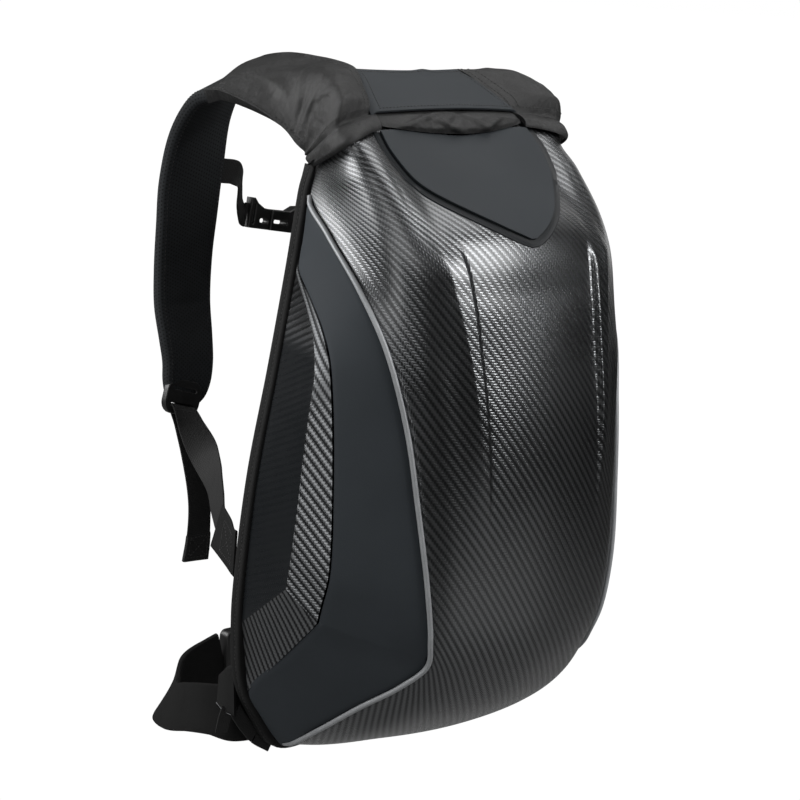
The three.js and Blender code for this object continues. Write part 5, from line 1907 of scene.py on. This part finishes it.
def crossed_box(corners, offset):
    """A sewn box with a cross in it, from four corners in order."""
    a, b, c, d = np.asarray(corners, float) + offset
    pairs = ((a, b), (b, c), (c, d), (d, a), (a, c), (b, d))
    return np.concatenate([np.linspace(*pair, 12) for pair in pairs])


def seam_lines():
    """Every sewn line, laid on its piece."""
    seam, outward = edge_frames(400)
    lines = [(tape, seam + outward * TAPE_LINE["out"] + [0, TAPE_LINE["back"], 0])]
    for name in ("left", "right"):
        cloth, grid = yokes[name]
        grid = grid if name == "left" else grid[:, ::-1]
        lines.append((cloth, grid[HEM_LINE, SEWN_SPAN]))
        lines += [(cloth, grid[YOKE_SIDE_ROWS, column]) for column in YOKE_SIDE_COLUMNS]
        lines.append((cloth, grid[HEM_LINE:, YOKE_EDGE_COLUMN]))
        pad, rings = straps[name]
        lines += [(pad, rings[STRAP_SPAN, column]) for column in STRAP_SEAMS]
    lines += [(neck_panel, neck_grid[row, SEWN_SPAN]) for row in NECK_ROW_LINES]
    lines += [(neck_panel, neck_grid[NECK_DEPTH, column]) for column in NECK_COLUMN_LINES]
    lines += [(back_pad, back_grid[BACK_SPAN, column]) for column in BACK_COLUMNS]
    for (_, tail, anchor), mirror, drop in zip(webbings, (1, FLIP), (0, RIGHT_STRAP_DROP)):
        x, y, _ = STRAP_TAIL_ROUTE[-1]["at"]
        half, low, high = TAIL_BOX["half"], TAIL_BOX["low"] - drop, TAIL_BOX["high"] - drop
        box = [(x - half, y, low), (x + half, y, low), (x + half, y, high), (x - half, y, high)]
        lines += [(tail, crossed_box(box, [0, side, 0]) * mirror) for side in (-4, 4)]
        front, rear = np.array(ANCHOR_BOX["front"]), np.array(ANCHOR_BOX["rear"])
        up = np.array([0, 0, ANCHOR_BOX["half"]])
        box = [front + up, rear + up, rear - up, front - up]
        lines.append((anchor, crossed_box(box, ANCHOR_BOX["off"]) * mirror))
    return [laid_on(made, path) for made, path in lines]


sewn_lines = seam_lines()
print("seam lines:", len(sewn_lines), "in all", round(sum(lengths(line)[-1] for line in sewn_lines)), "mm")

# %% Stitches along the seams
STITCH = {"Pitch": 3.2, "Length": 2.3, "Thread": 0.7}


def stitch_tree():
    """A thread bead at every step along each path, turned along it."""
    tree, given, out = tree_with("sewn_seam", {name: size * MM for name, size in STITCH.items()})
    path = put(tree, "GeometryNodeMeshToCurve", {0: given["Path"]}).outputs[0]
    steps = put(tree, "GeometryNodeResampleCurve", {"Curve": path, "Length": given["Pitch"]}, mode="LENGTH")
    bead = put(tree, "GeometryNodeMeshUVSphere", {"Segments": 6, "Rings": 4, "Radius": 0.5})
    along = tree.nodes.new("GeometryNodeInputTangent").outputs[0]
    turned = put(tree, "FunctionNodeAlignRotationToVector", {"Vector": along}, axis="X")
    thread = given["Thread"]
    size = put(tree, "ShaderNodeCombineXYZ", {0: given["Length"], 1: thread, 2: thread})
    sewn = {"Points": steps, "Instance": bead, "Rotation": turned, "Scale": size}
    sockets = {name: node.outputs[0] for name, node in sewn.items()}
    beads = put(tree, "GeometryNodeInstanceOnPoints", sockets)
    real = put(tree, "GeometryNodeRealizeInstances", {0: beads.outputs[0]})
    soft = put(tree, "GeometryNodeSetShadeSmooth", {0: real.outputs[0]})
    dyed = put(tree, "GeometryNodeSetMaterial", {0: soft.outputs[0], "Material": given["Finish"]})
    join(tree, out["Made"], dyed.outputs[0])
    return tree


stitches = along_paths("seam_stitches", stitch_tree(), sewn_lines, STITCH, THREAD)
fitted(stitches, THREAD, [])
print("stitch faces:", len(stitches.data.polygons))

# %% [markdown]
# ## Sizes and the end
# The looks may stand a little proud of the solids, so the end prints how far each corner of their box
# has grown past the solids' box. The looks may stand a little proud of the solids, but not by more
# than a few millimetres.

# %% Sizes
NEW_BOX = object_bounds()
grown = [(new - old) / MM for old, new in zip(CAD_BOX, NEW_BOX)]
print("grown by, in mm:", [[round(value, 1) for value in corner] for corner in grown])
